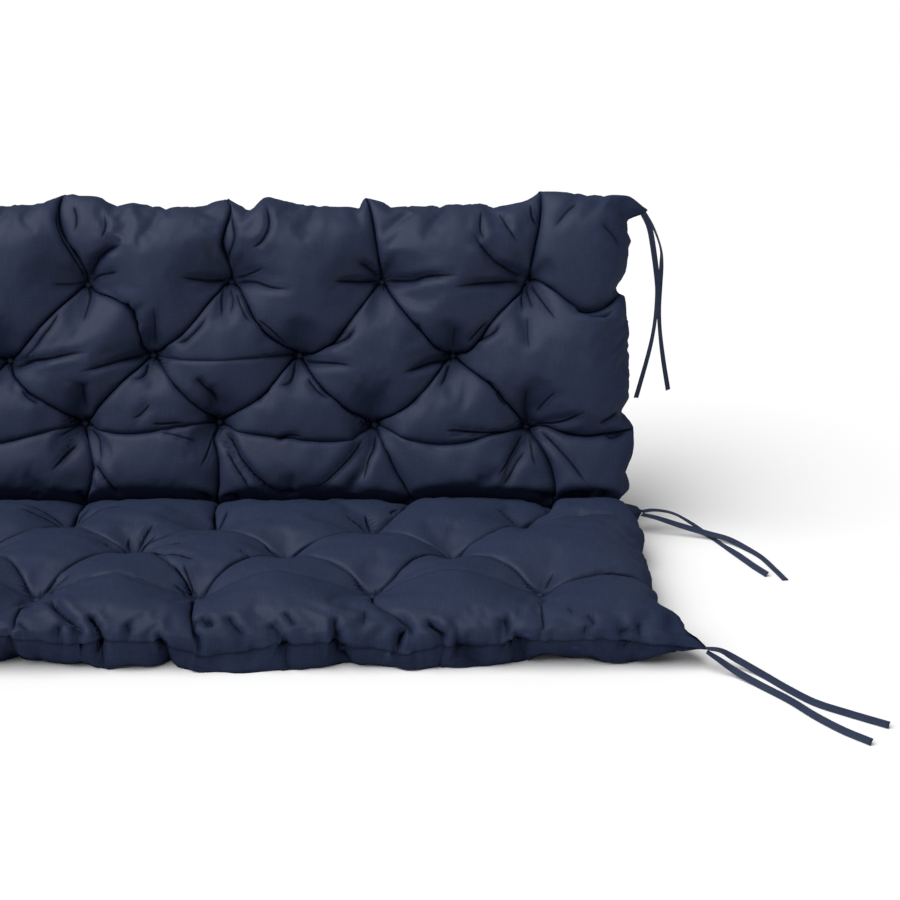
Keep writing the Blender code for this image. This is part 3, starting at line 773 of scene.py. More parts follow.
def holds(cover):
    """How firmly each vertex is held: tufts, fold and corner tips fast, creases and edges softly."""
    u, v, _ = read(cover.data, "pattern").T
    under = read(cover.data, "grid_place")[:, 2] > 0.9
    gaps, _ = crease_gaps(u, v)
    firmness = CREASE_HOLD * crease_strengths[:, None]
    weights = np.where(gaps < ON_CREASE, firmness, 0.0).max(axis=0)
    weights *= np.where(under, front_smooth(v), 1.0)
    on_side = np.abs(u) > HALF_WIDTH - ON_SEAM
    on_end = (v < ON_SEAM - SEAT_DEPTH) | (v > BACK_HEIGHT - ON_SEAM)
    weights = np.where(on_side | on_end, EDGE_HOLD, weights)
    near_tip = np.minimum(np.minimum(SEAT_DEPTH + v, BACK_HEIGHT - v), np.abs(v)) < TIP_HELD
    weights = np.where(on_side & near_tip, 1.0, weights)
    weights = np.where(on_end & (np.abs(u) > HALF_WIDTH - TIP_HELD), 1.0, weights)
    tuft_gap = gaps_from_tufts(u, v).min(axis=0)
    weights = np.where(tuft_gap < TUFT_HELD, 1.0, weights)
    return np.where(np.abs(v) < ON_SEAM, 1.0, weights)


# How far the seat's pillows are pressed flat above their tufts, and how the back's pillows sag
SEAT_FLATTENED = 0.62
TUFT_LEVEL = 0.046
SAG = 0.22
SAG_FROM = 0.014
SAG_FREE = 0.040
outward_back = np.array([0.0, -LEAN_COS, LEAN_SIN])
up_back = np.array([0.0, LEAN_SIN, LEAN_COS])


def settle(mesh_data):
    """Press the seat's pillows flat, as sitting leaves them, and let the back's pillows sag."""
    places = read(mesh_data)
    y = read(mesh_data, "cloth_place")[:, 1]
    face = read(mesh_data, "grid_place")[:, 2] < 0.5
    seat = face & (y < 0.0)
    places[seat, 2] -= (1.0 - SEAT_FLATTENED) * np.maximum(places[seat, 2] - TUFT_LEVEL, 0.0)
    back = face & (y > 0.0)
    height = (places[back] - FOLD_MIDDLE) @ outward_back
    free = share_of(np.minimum(y[back], BACK_HEIGHT - y[back]), SAG_FREE)
    places[back] -= np.outer(SAG * free * np.maximum(height - SAG_FROM, 0.0), up_back)
    write(mesh_data, places)


# How far the roll below the front seam stands forward (plus) at the floor, by place across
FRONT_FOOT = (
    (-240, 15), (-122, -28), (-92, -25), (-76, -27), (-46, -24), (-31, -30), (-18, -6), (0, 6), (14, 0),
    (45, -3), (60, -7), (75, -25), (92, -7), (121, 6), (151, 10), (167, 18), (212, 20), (227, 20), (242, 12),
    (273, 3), (303, -3), (333, -11), (349, -6), (364, 0), (379, 5), (455, 6), (480, 0), (500, -7), (531, -12),
    (548, -28), (561, -44), (576, -30), (592, -16), (622, 0), (660, 5), (683, 2), (705, -10), (722, -20),
    (744, -40),
)
ROLL_FROM_SEAM = 0.014
ROLL_REACH = 0.050

# The underside of the front corners, which is lifted towards a height: where it starts and is full
# (in millimetres across), its reach from the seam, and the share of the lift
CORNER_FROM = 660.0
CORNER_OVER = 80.0
CORNER_REACH = 0.035
CORNER_LIFT = 0.55
CORNER_HEIGHT = 0.030

# Beyond this place the left end mirrors the right. How far the panels stay apart at the seam, how
# near a cell's line counts as on it, and stitches in a cell
MIRRORED_BEYOND = 0.24
SEAM_OPEN = 0.06
CELL_SLACK = 0.1
STITCHES = 4.0


def close_seam(mesh_data):
    """Bring the panels' edges together, as stitches do, and shape the roll below the front seam."""
    places = read(mesh_data)
    column, line, level = read(mesh_data, "grid_place").T
    from_end = np.minimum(len(columns) - 1 - column, len(lines) - 1 - line)
    on_seam = np.minimum(np.minimum(column, line), from_end) < CELL_SLACK
    spots = np.round(np.stack([column, line], axis=1)[on_seam] * STITCHES).astype(int)
    _, stitch = np.unique(spots, axis=0, return_inverse=True)
    stitch = stitch.ravel()
    middles = np.stack([np.bincount(stitch, places[on_seam, part]) for part in range(3)], axis=1)
    middles /= np.bincount(stitch)[:, None]
    places[on_seam] = middles[stitch] + SEAM_OPEN * (places[on_seam] - middles[stitch])
    x, y, _ = read(mesh_data, "cloth_place").T
    from_seam = SEAT_DEPTH + y
    across = np.where(x < -MIRRORED_BEYOND, -x, x) / MILLIMETRE
    forward = np.interp(across, *np.array(FRONT_FOOT).T) * MILLIMETRE
    below = (level > 0.9) & (y < 0.0)
    share = share_of(from_seam, ROLL_FROM_SEAM) * np.exp(-(from_seam / ROLL_REACH) ** 2)
    places[below, 1] -= (forward * share)[below]
    corner = share_of(np.abs(across) - CORNER_FROM, CORNER_OVER) * np.exp(-(from_seam / CORNER_REACH) ** 2)
    places[below, 2] += (CORNER_LIFT * corner * np.maximum(CORNER_HEIGHT - places[:, 2], 0.0))[below]
    write(mesh_data, places)


# Half of the gap that is kept between the seat and the back
PARTED = 0.0004


def keep_clear(mesh_data):
    """Flatten what would sink into the floor, and part the seat and the back where they meet."""
    places = read(mesh_data)
    y = read(mesh_data, "cloth_place")[:, 1]
    face = read(mesh_data, "grid_place")[:, 2] < 0.5
    forward = np.array([0.0, -LEAN_COS, 1.0 + LEAN_SIN]) / math.hypot(-LEAN_COS, 1.0 + LEAN_SIN)
    across_split = np.array([0.0, forward[2], -forward[1]])
    from_fold = places - FOLD_MIDDLE
    side = from_fold @ across_split
    in_front = from_fold @ forward > 0.0
    seat = (y < 0.0) & face & in_front & (side > -PARTED)
    back = (y > 0.0) & face & in_front & (side < PARTED)
    places[seat] -= np.outer(side[seat] + PARTED, across_split)
    places[back] -= np.outer(side[back] - PARTED, across_split)
    places[:, 2] = np.maximum(places[:, 2], 0.0)
    write(mesh_data, places)


def smooth_normals(mesh_data, rounds):
    """Vertex normals, each averaged with its neighbours' a few times."""
    normals = np.empty(len(mesh_data.vertices) * 3, np.float32)
    mesh_data.vertex_normals.foreach_get("vector", normals)
    normals = normals.reshape(-1, 3).astype(float)
    ends = np.empty(len(mesh_data.edges) * 2, np.int32)
    mesh_data.edges.foreach_get("vertices", ends)
    one, other = ends.reshape(-1, 2).T
    for _ in range(rounds):
        total = normals.copy()
        for part in range(3):
            total[:, part] += np.bincount(one, normals[other, part], len(normals))
            total[:, part] += np.bincount(other, normals[one, part], len(normals))
        normals = total / np.linalg.norm(total, axis=1)[:, None]
    return normals


# Creases: how far and over what reach their lips close, the sunk slit, deeper beside the tufts of the
# back, even on the seat, and how far the slits keep from the sides, the front and the seat's tufts
CLOSING = 0.60
CLOSING_REACH = 0.015
SLIT_DEPTH = 0.0045
SLIT_REACH = 0.0032
SLIT_PLAIN = 0.7
SLIT_DEEPER = 1.2
SLIT_DEEPER_REACH = 0.022
SEAT_SLIT = 1.25
SLIT_FROM_SIDE = 0.015
SLIT_FROM_FRONT = 0.035
SLIT_FROM_TUFT = 0.020
SLIT_AT_TUFT = 0.15
SMOOTHING = 6


def close_creases(mesh_data):
    """Bring the two lips of each crease together and sink its line, most beside the tufts."""
    places = read(mesh_data)
    u, v, _ = read(mesh_data, "pattern").T
    level = read(mesh_data, "grid_place")[:, 2]
    normals = smooth_normals(mesh_data, SMOOTHING)
    gaps, shares = crease_gaps(u, v)
    counts = nearness(gaps, OWN_LINE)
    counts *= share_of(np.minimum(HALF_WIDTH - np.abs(u), BACK_HEIGHT - v), SLIT_FROM_SIDE)
    counts *= share_of(SEAT_DEPTH + v, SLIT_FROM_FRONT)
    counts *= np.where(level > 0.9, front_smooth(v), 1.0)
    tuft_gap = gaps_from_tufts(u, v).min(axis=0)
    deeper = SLIT_PLAIN + SLIT_DEEPER * np.exp(-tuft_gap / SLIT_DEEPER_REACH)
    on_seat = (v < 0.0) & (level < 0.5)
    deeper[on_seat] = SEAT_SLIT
    counts *= np.where(on_seat, np.maximum(share_of(tuft_gap, SLIT_FROM_TUFT), SLIT_AT_TUFT), 1.0)
    moved = np.zeros_like(places)
    for number, crease in enumerate(creases):
        left_x, left_y = crease_lefts[number]
        if crease.start[1] + crease.end[1] < 0.0:
            left = (left_x, left_y, 0.0)
        else:
            left = (left_x, left_y * LEAN_SIN, left_y * LEAN_COS)
        for panel in (0.0, 1.0):
            near = np.nonzero((gaps[number] < 3.0 * CLOSING_REACH) & (level == panel))[0]
            line = near[gaps[number][near] < ON_CREASE]
            line = line[np.argsort(shares[number][line])]
            nearest = np.stack([np.interp(shares[number][near], shares[number][line], places[line, part])
                                for part in range(3)], axis=1)
            gap = gaps[number][near]
            weight = crease_strengths[number] * counts[number][near]
            aside = (places[near] - nearest) @ np.array(left)
            moved[near] -= np.outer(CLOSING * weight * np.exp(-(gap / CLOSING_REACH) ** 2) * aside, left)
            slit = SLIT_DEPTH * weight * deeper[near] * np.exp(-(gap / SLIT_REACH) ** 2)
            moved[near] -= normals[near] * slit[:, None]
    write(mesh_data, places + moved)


# Loose folds beside the creases: depth, half width, then the route on the face, all in millimetres
Fold = namedtuple("Fold", "depth half_width route")
FOLDS = (
    (5, 5, ((-115, 357), (-136, 398), (-148, 421), (-154, 442), (-154, 461))),
    (7, 10, ((-108, 358), (-92, 386), (-78, 400), (-63, 410), (-46, 409))),
    (4, 5, ((-81, 424), (-74, 438), (-80, 456))),
    (5, 5, ((-105, 354), (-86, 363), (-53, 372))),
    (3, 6, ((-115, 353), (-136, 351), (-163, 353))),
    (4, 5, ((-108, 344), (-108, 324), (-112, 293))),
    (5, 4, ((-144, 308), (-153, 289), (-167, 273), (-183, 254), (-203, 238))),
    (5, 4, ((-124, 459), (-117, 444), (-119, 426))),
    (8, 6, ((-225, 227), (-188, 239), (-159, 244), (-125, 252), (-97, 253))),
    (8, 5, ((-18, 242), (-49, 239), (-83, 233), (-116, 225))),
    (5, 13, ((-8, 255), (-2, 293), (-1, 330))),
    (5, 4, ((-47, 327), (-38, 311), (-30, 302))),
    (5, 4, ((35, 263), (50, 268), (70, 286), (84, 306))),
    (7, 4, ((250, 259), (265, 262), (282, 267), (298, 279), (308, 292))),
    (6, 4, ((473, 271), (481, 285), (488, 293), (500, 305))),
    (6, 4, ((488, 266), (504, 270), (520, 278), (528, 292))),
    (4, 4, ((509, 183), (516, 171), (526, 164))),
    (6, 4, ((109, 385), (125, 417), (122, 439), (110, 467))),
    (6, 5, ((151, 406), (166, 416), (174, 431), (174, 447), (165, 465))),
    (4, 7, ((118, 359), (142, 368), (165, 377))),
    (7, 6, ((104, 356), (81, 356), (63, 360), (34, 366))),
    (6, 6, ((117, 352), (144, 355), (173, 349), (205, 348))),
    (3, 4, ((100, 345), (98, 323), (101, 300))),
    (3, 4, ((109, 342), (113, 319), (111, 303))),
    (4, 4, ((117, 336), (125, 313), (135, 297), (145, 287))),
    (5, 4, ((160, 304), (175, 293), (189, 279), (200, 261))),
    (8, 6, ((336, 355), (314, 355), (292, 358), (263, 360))),
    (5, 6, ((333, 361), (315, 377), (301, 387))),
    (9, 7, ((346, 355), (372, 356), (389, 358), (404, 365), (431, 370), (464, 370))),
    (4, 4, ((399, 301), (407, 280), (420, 269))),
    (4, 12, ((449, 253), (450, 275), (453, 296))),
    (10, 8, ((559, 358), (532, 374), (513, 386), (499, 402), (486, 417), (471, 437))),
    (4, 5, ((491, 460), (488, 432), (499, 417))),
    (4, 5, ((518, 462), (533, 430), (544, 412))),
    (5, 4, ((563, 464), (563, 444), (574, 434))),
    (9, 7, ((558, 353), (527, 355), (501, 356), (472, 356), (444, 352))),
    (6, 5, ((632, 315), (650, 310), (664, 303), (698, 311))),
    (4, 4, ((562, 346), (565, 330), (572, 311))),
    (5, 4, ((568, 347), (585, 322), (599, 303), (608, 292))),
    (3, 4, ((557, 344), (555, 325), (558, 308))),
    (5, 12, ((563, 302), (564, 272), (567, 249))),
    (4, 8, ((640, 459), (622, 447), (603, 428))),
    (5, 9, ((674, 436), (692, 421), (704, 400))),
    (5, 3.5, ((-205, 189), (-196, 179), (-185, 172), (-177, 168))),
    (5, 3.5, ((-16, 229), (-17, 214), (-24, 206), (-36, 204))),
    (9, 8, ((65, 218), (72, 206), (83, 193), (90, 179), (92, 161))),
    (6, 12, ((-111, 210), (-112, 184), (-113, 155))),
    (4, 8, ((-10, 170), (-23, 156), (-36, 152))),
    (5, 4, ((-6, 146), (5, 144), (21, 146), (40, 145))),
    (4, 5, ((5, 128), (27, 123), (49, 117), (65, 113))),
    (10, 6, ((-91, 83), (-79, 71), (-68, 57), (-61, 41), (-58, 22))),
    (6, 5, ((-127, 111), (-140, 99), (-152, 85), (-160, 75))),
    (8, 5, ((-127, 45), (-124, 32), (-116, 12))),
    (3, 4, ((-121, 135), (-136, 128), (-151, 120))),
    (3, 4, ((-115, 128), (-111, 118), (-107, 108))),
    (3, 5, ((-107, 132), (-88, 116), (-83, 99), (-76, 85))),
    (5, 4, ((210, 231), (208, 212), (203, 200), (194, 196), (185, 194))),
    (6, 7, ((221, 236), (255, 235), (282, 235), (305, 230))),
    (5, 4, ((226, 206), (239, 189), (252, 179), (262, 174))),
    (5, 4, ((273, 167), (282, 160), (292, 152), (306, 150))),
    (10, 6, ((443, 236), (419, 235), (394, 229), (379, 225), (367, 220))),
    (5, 4, ((445, 227), (439, 208), (431, 192))),
    (8, 5, ((185, 117), (195, 126), (206, 129), (220, 126))),
    (14, 7, ((101, 129), (116, 113), (131, 94), (147, 75), (163, 54), (174, 36), (186, 14))),
    (7, 5, ((112, 100), (126, 78), (139, 58), (148, 37))),
    (4, 5, ((86, 128), (77, 108), (69, 91), (61, 78))),
    (8, 4, ((327, 124), (325, 106), (318, 79), (313, 54))),
    (5, 3.5, ((344, 104), (352, 92), (358, 86))),
    (6, 10, ((308, 118), (292, 98), (274, 80), (251, 56), (236, 38))),
    (9, 5, ((439, 136), (458, 135), (486, 132), (514, 129), (544, 128))),
    (8, 6, ((190, 30), (199, 36), (212, 30))),
    (8, 6, ((112, 34), (120, 26), (126, 12))),
    (9, 8, ((60, 36), (68, 26), (76, 12))),
    (8, 7, ((571, 134), (595, 139), (617, 148), (633, 158), (649, 169))),
    (6, 4, ((676, 119), (684, 113), (695, 117), (707, 121))),
    (5, 4.5, ((554, 121), (543, 107), (529, 89), (518, 74), (514, 66))),
    (4, 4, ((557, 102), (546, 85), (535, 66), (522, 52))),
    (4, 4, ((564, 117), (565, 102), (567, 88), (573, 74))),
    (5, 5, ((583, 122), (605, 105), (622, 88), (638, 69), (658, 47))),
    (6, 13, ((563, 134), (559, 160), (561, 205))),
    (4, 8, ((578, 155), (591, 178), (605, 196))),
    (16, 11, ((574, 26), (584, 30), (594, 10))),
    (20, 15, ((622, 14), (637, 30), (662, 12))),
    (14, 9, ((658, 44), (671, 34), (686, 14))),
    (6, 6, ((668, 147), (686, 156), (704, 160))),
    (4, 4, ((-110, -92), (-100, -70), (-88, -52))),
    (3, 4, ((-108, -96), (-88, -84), (-58, -78), (-26, -82))),
    (3, 4, ((-124, -98), (-148, -88), (-178, -80), (-206, -76))),
    (3, 4, ((-126, -106), (-152, -100), (-180, -96), (-210, -94))),
    (8, 5, ((-6, -192), (0, -172), (8, -151), (16, -134))),
    (5, 4, ((-12, -192), (-16, -178), (-17, -162))),
    (7, 4, ((-18, -204), (-34, -202), (-50, -196))),
    (5, 5, ((2, -202), (24, -208), (50, -216), (78, -226))),
    (4, 4, ((0, -196), (12, -180), (22, -164))),
    (4, 5, ((-2, -208), (16, -224), (38, -240), (58, -262))),
    (5, 6, ((46, -248), (62, -252), (80, -262), (95, -276))),
    (9, 4, ((101, -112), (112, -92), (118, -66))),
    (6, 4, ((98, -339), (84, -318), (72, -294), (62, -272))),
    (5, 4, ((102, -336), (95, -318), (86, -296), (79, -276))),
    (4, 4, ((96, -346), (80, -336), (66, -330))),
    (3, 5, ((147, -241), (156, -251), (165, -257))),
    (4, 4, ((204, -214), (190, -210), (174, -202))),
    (8, 4, ((326, -122), (321, -104), (316, -84))),
    (8, 4, ((340, -116), (350, -98), (360, -76))),
    (6, 4, ((346, -78), (350, -66), (358, -60))),
    (4, 4, ((320, -122), (302, -108), (284, -98))),
    (4, 4, ((544, -100), (526, -86), (508, -78))),
    (10, 5, ((-98, -338), (-84, -322), (-66, -312))),
    (10, 8, ((-100, -350), (-84, -358), (-68, -370))),
    (16, 7, ((-74, -396), (-62, -418), (-52, -434), (-42, -446), (-31, -456), (-22, -463))),
    (14, 6, ((-20, -440), (-14, -450), (-8, -460), (-3, -470), (-2, -480))),
    (5, 8, ((26, -452), (32, -462), (36, -468))),
    (5, 6, ((-40, -457), (-31, -463), (-23, -464))),
    (4, 5, ((-104, -444), (-92, -462), (-86, -464))),
    (6, 7, ((-56, -455), (-54, -462), (-56, -468))),
    (8, 4.5, ((122, -430), (118, -445), (120, -458), (125, -466))),
    (10, 5, ((128, -426), (135, -441), (138, -451))),
    (8, 4, ((135, -435), (142, -442), (142, -452))),
    (8, 7, ((161, -435), (167, -451), (176, -462), (181, -467))),
    (7, 9, ((210, -452), (218, -461), (227, -470))),
    (5, 6, ((230, -434), (241, -449), (245, -458))),
    (11, 6, ((293, -443), (292, -455), (297, -464), (302, -468))),
    (4, 7, ((329, -430), (328, -446), (327, -457))),
    (12, 5, ((377, -452), (373, -461), (373, -468))),
    (12, 7, ((413, -444), (422, -456), (431, -464), (438, -468))),
    (8, 10, ((507, -444), (510, -457), (513, -470))),
    (3, 4, ((594, -425), (600, -441))),
    (5, 3.5, ((616, -439), (620, -451), (624, -460))),
    (5, 5, ((611, -456), (610, -464), (608, -467))),
    (6, 6, ((665, -459), (656, -463), (649, -464))),
    (4, 5, ((676, -451), (674, -461), (676, -466))),
    (4, 4, ((568, -328), (575, -312), (583, -298))),
    (12, 7, ((288, -466), (300, -472), (318, -480))),
    (8, 10, ((519, -466), (531, -472), (542, -480))),
    (10, 7, ((66, -466), (76, -472), (82, -482))),
    (8, 7, ((-121, -466), (-116, -472), (-116, -482))),
    (6, 9, ((443, -466), (464, -472), (486, -480))),
    (6, 8, ((224, -466), (233, -472), (234, -484))),
)

# Folds: how wide their lines are, how far the cloth is drawn in, their narrowest half width in the
# mesh, and which of them are by the front seam, where they are soft and aren't repeated underneath
FOLD_LINE_REACH = 0.009
FOLD_LINE_FULL = 0.004
FOLD_DRAWN = 0.40
FOLD_DRAWN_WIDTH = 1.7
FOLD_NARROWEST = 0.0055
FOLD_MARGIN = 3.5
BY_FRONT_SEAM = -0.40
UNDER_SHARE = 0.6
FOLD_SMOOTHING = 10

# A fold's section, in half widths: a round trough with a sharp bottom, and a low swell beside it
ROUND_TROUGH = 0.55
SHARP_TROUGH = 0.45
SHARPNESS = 1.7
SWELL = 0.22
SWELL_AT = 1.9
SWELL_WIDTH = 0.7

# Shares of a fold's run over which it starts and ends, and how strong its line and its painted shade are
STARTS_OVER = 0.12
ENDS_OVER = 0.35
LEAST_LINE = 0.35
DEEP_FOLD = 0.012
NARROW_FOLD = 0.006
SOFT_LINE = 0.30
FRONT_SHADE = 0.7
PLAIN_SHADE = 0.3
SHADED_DEPTH = 0.006
SHADE_WIDTH = 0.75


def eased(route):
    """The route with its corners cut twice."""
    for _ in range(2):
        quarter = 0.75 * route[:-1] + 0.25 * route[1:]
        three = 0.25 * route[:-1] + 0.75 * route[1:]
        route = np.concatenate([route[:1], np.stack([quarter, three], axis=1).reshape(-1, 2), route[-1:]])
    return route


def all_folds():
    """Every loose fold of face and under panel, in metres, sorted into sets whose lines stay apart."""
    listed = []
    for depth, half_width, route in FOLDS:
        route = np.array(route) * MILLIMETRE
        depth *= MILLIMETRE
        half_width *= MILLIMETRE
        listed.append(Fold(depth, half_width, eased(route)))
        if route[:, 0].min() > MIRRORED_BEYOND:
            listed.append(Fold(depth, half_width, eased(route * (-1.0, 1.0))))
        if route[:, 1].min() > BY_FRONT_SEAM:
            underneath = route * (-1.0, -1.0) - (0.0, 2.0 * SEAT_DEPTH)
            listed.append(Fold(UNDER_SHARE * depth, half_width, eased(underneath)))
    sets = []
    for fold in listed:
        for others in sets:
            gaps = [np.linalg.norm(fold.route[:, None] - other.route, axis=2).min() for other in others]
            if min(gaps) > 2.0 * FOLD_LINE_REACH:
                others.append(fold)
                break
        else:
            sets.append([fold])
    return sets


def fold_section(wide):
    """Depth of a fold across it, by half widths from its line."""
    trough = ROUND_TROUGH * np.exp(-wide ** 2) + SHARP_TROUGH * np.exp(-SHARPNESS * wide)
    return trough - SWELL * np.exp(-((wide - SWELL_AT) / SWELL_WIDTH) ** 2)


def line_share(distance):
    """How far the mark of a line still shows at each distance from it."""
    return share_of(FOLD_LINE_REACH - distance, FOLD_LINE_REACH - FOLD_LINE_FULL)


def leave(mesh_data, name, values):
    """A new vertex attribute, for the cloth's shader."""
    mesh_data.attributes.new(name, "FLOAT_VECTOR", "POINT")
    write(mesh_data, values, name)


def loose_folds(mesh_data):
    """Push in the loose folds. Each set leaves an attribute: distance, strength of line, painted shade
    inside.
    """
    places = read(mesh_data)
    x, y, _ = read(mesh_data, "cloth_place").T
    level = read(mesh_data, "grid_place")[:, 2]
    normals = smooth_normals(mesh_data, FOLD_SMOOTHING)
    up = np.cross(normals, (1.0, 0.0, 0.0))
    up /= np.maximum(np.linalg.norm(up, axis=1), 0.2)[:, None]
    sheet = np.stack([x, np.where(level > 0.5, -2.0 * SEAT_DEPTH - y, y)], axis=1)
    moved = np.zeros_like(places)
    sets = all_folds()
    for number, folds in enumerate(sets):
        line = np.zeros_like(places)
        line[:, 0] = 3.0 * FOLD_LINE_REACH
        for fold in folds:
            by_front = fold.route[:, 1].max() < BY_FRONT_SEAM
            margin = max(FOLD_MARGIN * fold.half_width, 2.0 * FOLD_LINE_REACH)
            inside_box = (sheet > fold.route.min(axis=0) - margin) & (sheet < fold.route.max(axis=0) + margin)
            near = np.nonzero(inside_box.all(axis=1))[0]
            if not len(near):
                continue
            spot = sheet[near][:, None, :]
            runs = np.diff(fold.route, axis=0)
            lengths = np.linalg.norm(runs, axis=1)
            along = np.clip(((spot - fold.route[:-1]) * runs).sum(axis=2) / lengths ** 2, 0.0, 1.0)
            offsets = spot - fold.route[:-1] - along[:, :, None] * runs
            distances = np.linalg.norm(offsets, axis=2)
            best = distances.argmin(axis=1)
            row = np.arange(len(near))
            share = (np.cumsum(lengths) - lengths)[best] + along[row, best] * lengths[best]
            share /= lengths.sum()
            offset = offsets[row, best]
            distance = distances[row, best]
            half_width = max(fold.half_width, FOLD_NARROWEST)
            wide = distance / half_width
            taper = eased_share(share_of(share, STARTS_OVER) * share_of(1.0 - share, ENDS_OVER))
            sink = fold.depth * fold.half_width / half_width * taper * fold_section(wide)
            moved[near] -= normals[near] * sink[:, None]
            drawn = FOLD_DRAWN * taper * np.exp(-(wide / FOLD_DRAWN_WIDTH) ** 2)
            moved[near] -= (drawn * offset[:, 0])[:, None] * np.array([1.0, 0.0, 0.0])
            moved[near] -= (drawn * offset[:, 1])[:, None] * up[near]
            sides = np.sign(runs[best, 0] * offset[:, 1] - runs[best, 1] * offset[:, 0])
            sharp = min(1.0, LEAST_LINE + fold.depth / DEEP_FOLD) * min(1.0, NARROW_FOLD / fold.half_width)
            if by_front and fold.depth < DEEP_FOLD:
                sharp *= SOFT_LINE
            nearer = distance < np.abs(line[near, 0])
            line[near[nearer], 0] = (sides * distance)[nearer]
            line[near[nearer], 1] = (sharp * taper * line_share(distance))[nearer]
            # Painted shade inside the fold, strongest by the front seam
            inside = (FRONT_SHADE if by_front else PLAIN_SHADE) * min(1.0, fold.depth / SHADED_DEPTH)
            inside = inside * taper * np.exp(-(distance / (SHADE_WIDTH * half_width)) ** 2)
            line[near, 2] = np.maximum(line[near, 2], inside)
        leave(mesh_data, f"fold_lines_{number}", line)
    write(mesh_data, places + moved)
    return len(sets)


def from_tufts(u, v):
    """Offset and distance of each place, on the cut cloth, from the tuft that is nearest on the pattern."""
    nearest = gaps_from_tufts(u, v).argmin(axis=0)
    x, y = on_cloth(u, v)
    tuft_x, tuft_y = on_cloth(*tuft_spots.T)
    x, y = x - tuft_x[nearest], y - tuft_y[nearest]
    return x, y, np.hypot(x, y)


# The creases' valleys and painted shade start at this distance from the front seam
MARKS_FROM_FRONT = 0.040


def mark_lines(mesh_data):
    """Leave, for the cloth's shader, the offset from the tuft, the crease's line and the seams' lines."""
    u, v, _ = read(mesh_data, "pattern").T
    under = read(mesh_data, "grid_place")[:, 2] > 0.9
    gaps, _ = crease_gaps(u, v)
    nearest = gaps.argmin(axis=0)
    gap = gaps[nearest, np.arange(len(u))]
    side = np.sign((crease_lefts[nearest] * (np.stack([u, v], axis=1) - crease_starts[nearest])).sum(axis=1))
    firmness = crease_strengths[nearest] * np.where(under, front_smooth(v), 1.0)
    firmness = firmness * share_of(SEAT_DEPTH + v, MARKS_FROM_FRONT) * line_share(gap)
    panel = np.where(under, -1.0, 1.0)
    seam = panel * np.minimum(HALF_WIDTH - np.abs(u), np.minimum(SEAT_DEPTH + v, BACK_HEIGHT - v))
    leave(mesh_data, "from_tuft", np.stack(from_tufts(u, v), axis=1))
    leave(mesh_data, "crease_line", np.stack([side * gap, firmness, 0.0 * u], axis=1))
    leave(mesh_data, "seam_lines", np.stack([seam, v, 0.0 * u], axis=1))


# Gathers and lumps: their heights, the lengths of their waves, and how far they reach from a seam
SIDE_GATHER = 0.0010
END_GATHER = 0.0012
GATHER_REACH = 0.012
GATHER_LENGTHS = (0.071, 0.043, 0.029, 0.019)
GATHER_SHIFT = 0.3
GATHER_FROM_SEAM = 0.006
LUMP = 0.0012
LUMPS_ACROSS = (0.071, 0.053)
LUMPS_ALONG = (0.083, 0.047)
SEAM_SUNK = 0.0006
SEAM_SUNK_REACH = 0.002


def waves(place, lengths, seed):
    """An uneven wave between about -1 and 1 along a place."""
    full_turn = 2.0 * math.pi
    turns = np.random.default_rng(seed).uniform(0.0, full_turn, len(lengths))
    total = sum(np.sin(full_turn * place / length + turn) for length, turn in zip(lengths, turns))
    return total / len(lengths)


def gather_seams(mesh_data):
    """Small gathers along the edge seams and the fold, the sunk seam, and slight lumps of the filling."""
    places = read(mesh_data)
    u, v, _ = read(mesh_data, "pattern").T
    x, y, _ = read(mesh_data, "cloth_place").T
    level = read(mesh_data, "grid_place")[:, 2]
    normals = smooth_normals(mesh_data, SMOOTHING)
    side = HALF_WIDTH - np.abs(u)
    end = np.minimum(SEAT_DEPTH + v, BACK_HEIGHT - v)
    shift = GATHER_SHIFT * level
    lift = SIDE_GATHER * waves(y + shift, GATHER_LENGTHS, seed=3) * np.exp(-side / GATHER_REACH)
    lift += END_GATHER * waves(x + shift, GATHER_LENGTHS, seed=5) * np.exp(-end / GATHER_REACH)
    lift += END_GATHER * waves(x, GATHER_LENGTHS, seed=7) * np.exp(-np.abs(v) / GATHER_REACH)
    seam = np.minimum(side, end)
    lift *= share_of(np.minimum(seam, np.abs(v)), GATHER_FROM_SEAM)
    lift += LUMP * waves(x + 0.6 * y, LUMPS_ACROSS, seed=11) * waves(y - 0.4 * x, LUMPS_ALONG, seed=13)
    lift -= SEAM_SUNK * np.exp(-(seam / SEAM_SUNK_REACH) ** 2)
    write(mesh_data, places + normals * lift[:, None])


# The cover is filled on the coarse grid, filled again on one twice as fine, and then shaped
cover = placed("cover", sewn)
inflate(cover, holds(cover), SPARE_CLOTH, COARSE_FRAMES)
keep_clear(cover.data)
finer = cover.modifiers.new("finer", "SUBSURF")
finer.levels = 1
finer.render_levels = 1
finer.use_limit_surface = False
fine_mesh = bpy.data.meshes.new_from_object(cover.evaluated_get(bpy.context.evaluated_depsgraph_get()))
bpy.data.objects.remove(cover)
fine_mesh.name = "cover"
cover = placed("cover", fine_mesh)
inflate(cover, holds(cover), FINE_SPARE_CLOTH, FINE_FRAMES)
settle(cover.data)
close_seam(cover.data)
keep_clear(cover.data)
close_creases(cover.data)
fold_sets = loose_folds(cover.data)
gather_seams(cover.data)
keep_clear(cover.data)
mark_lines(cover.data)

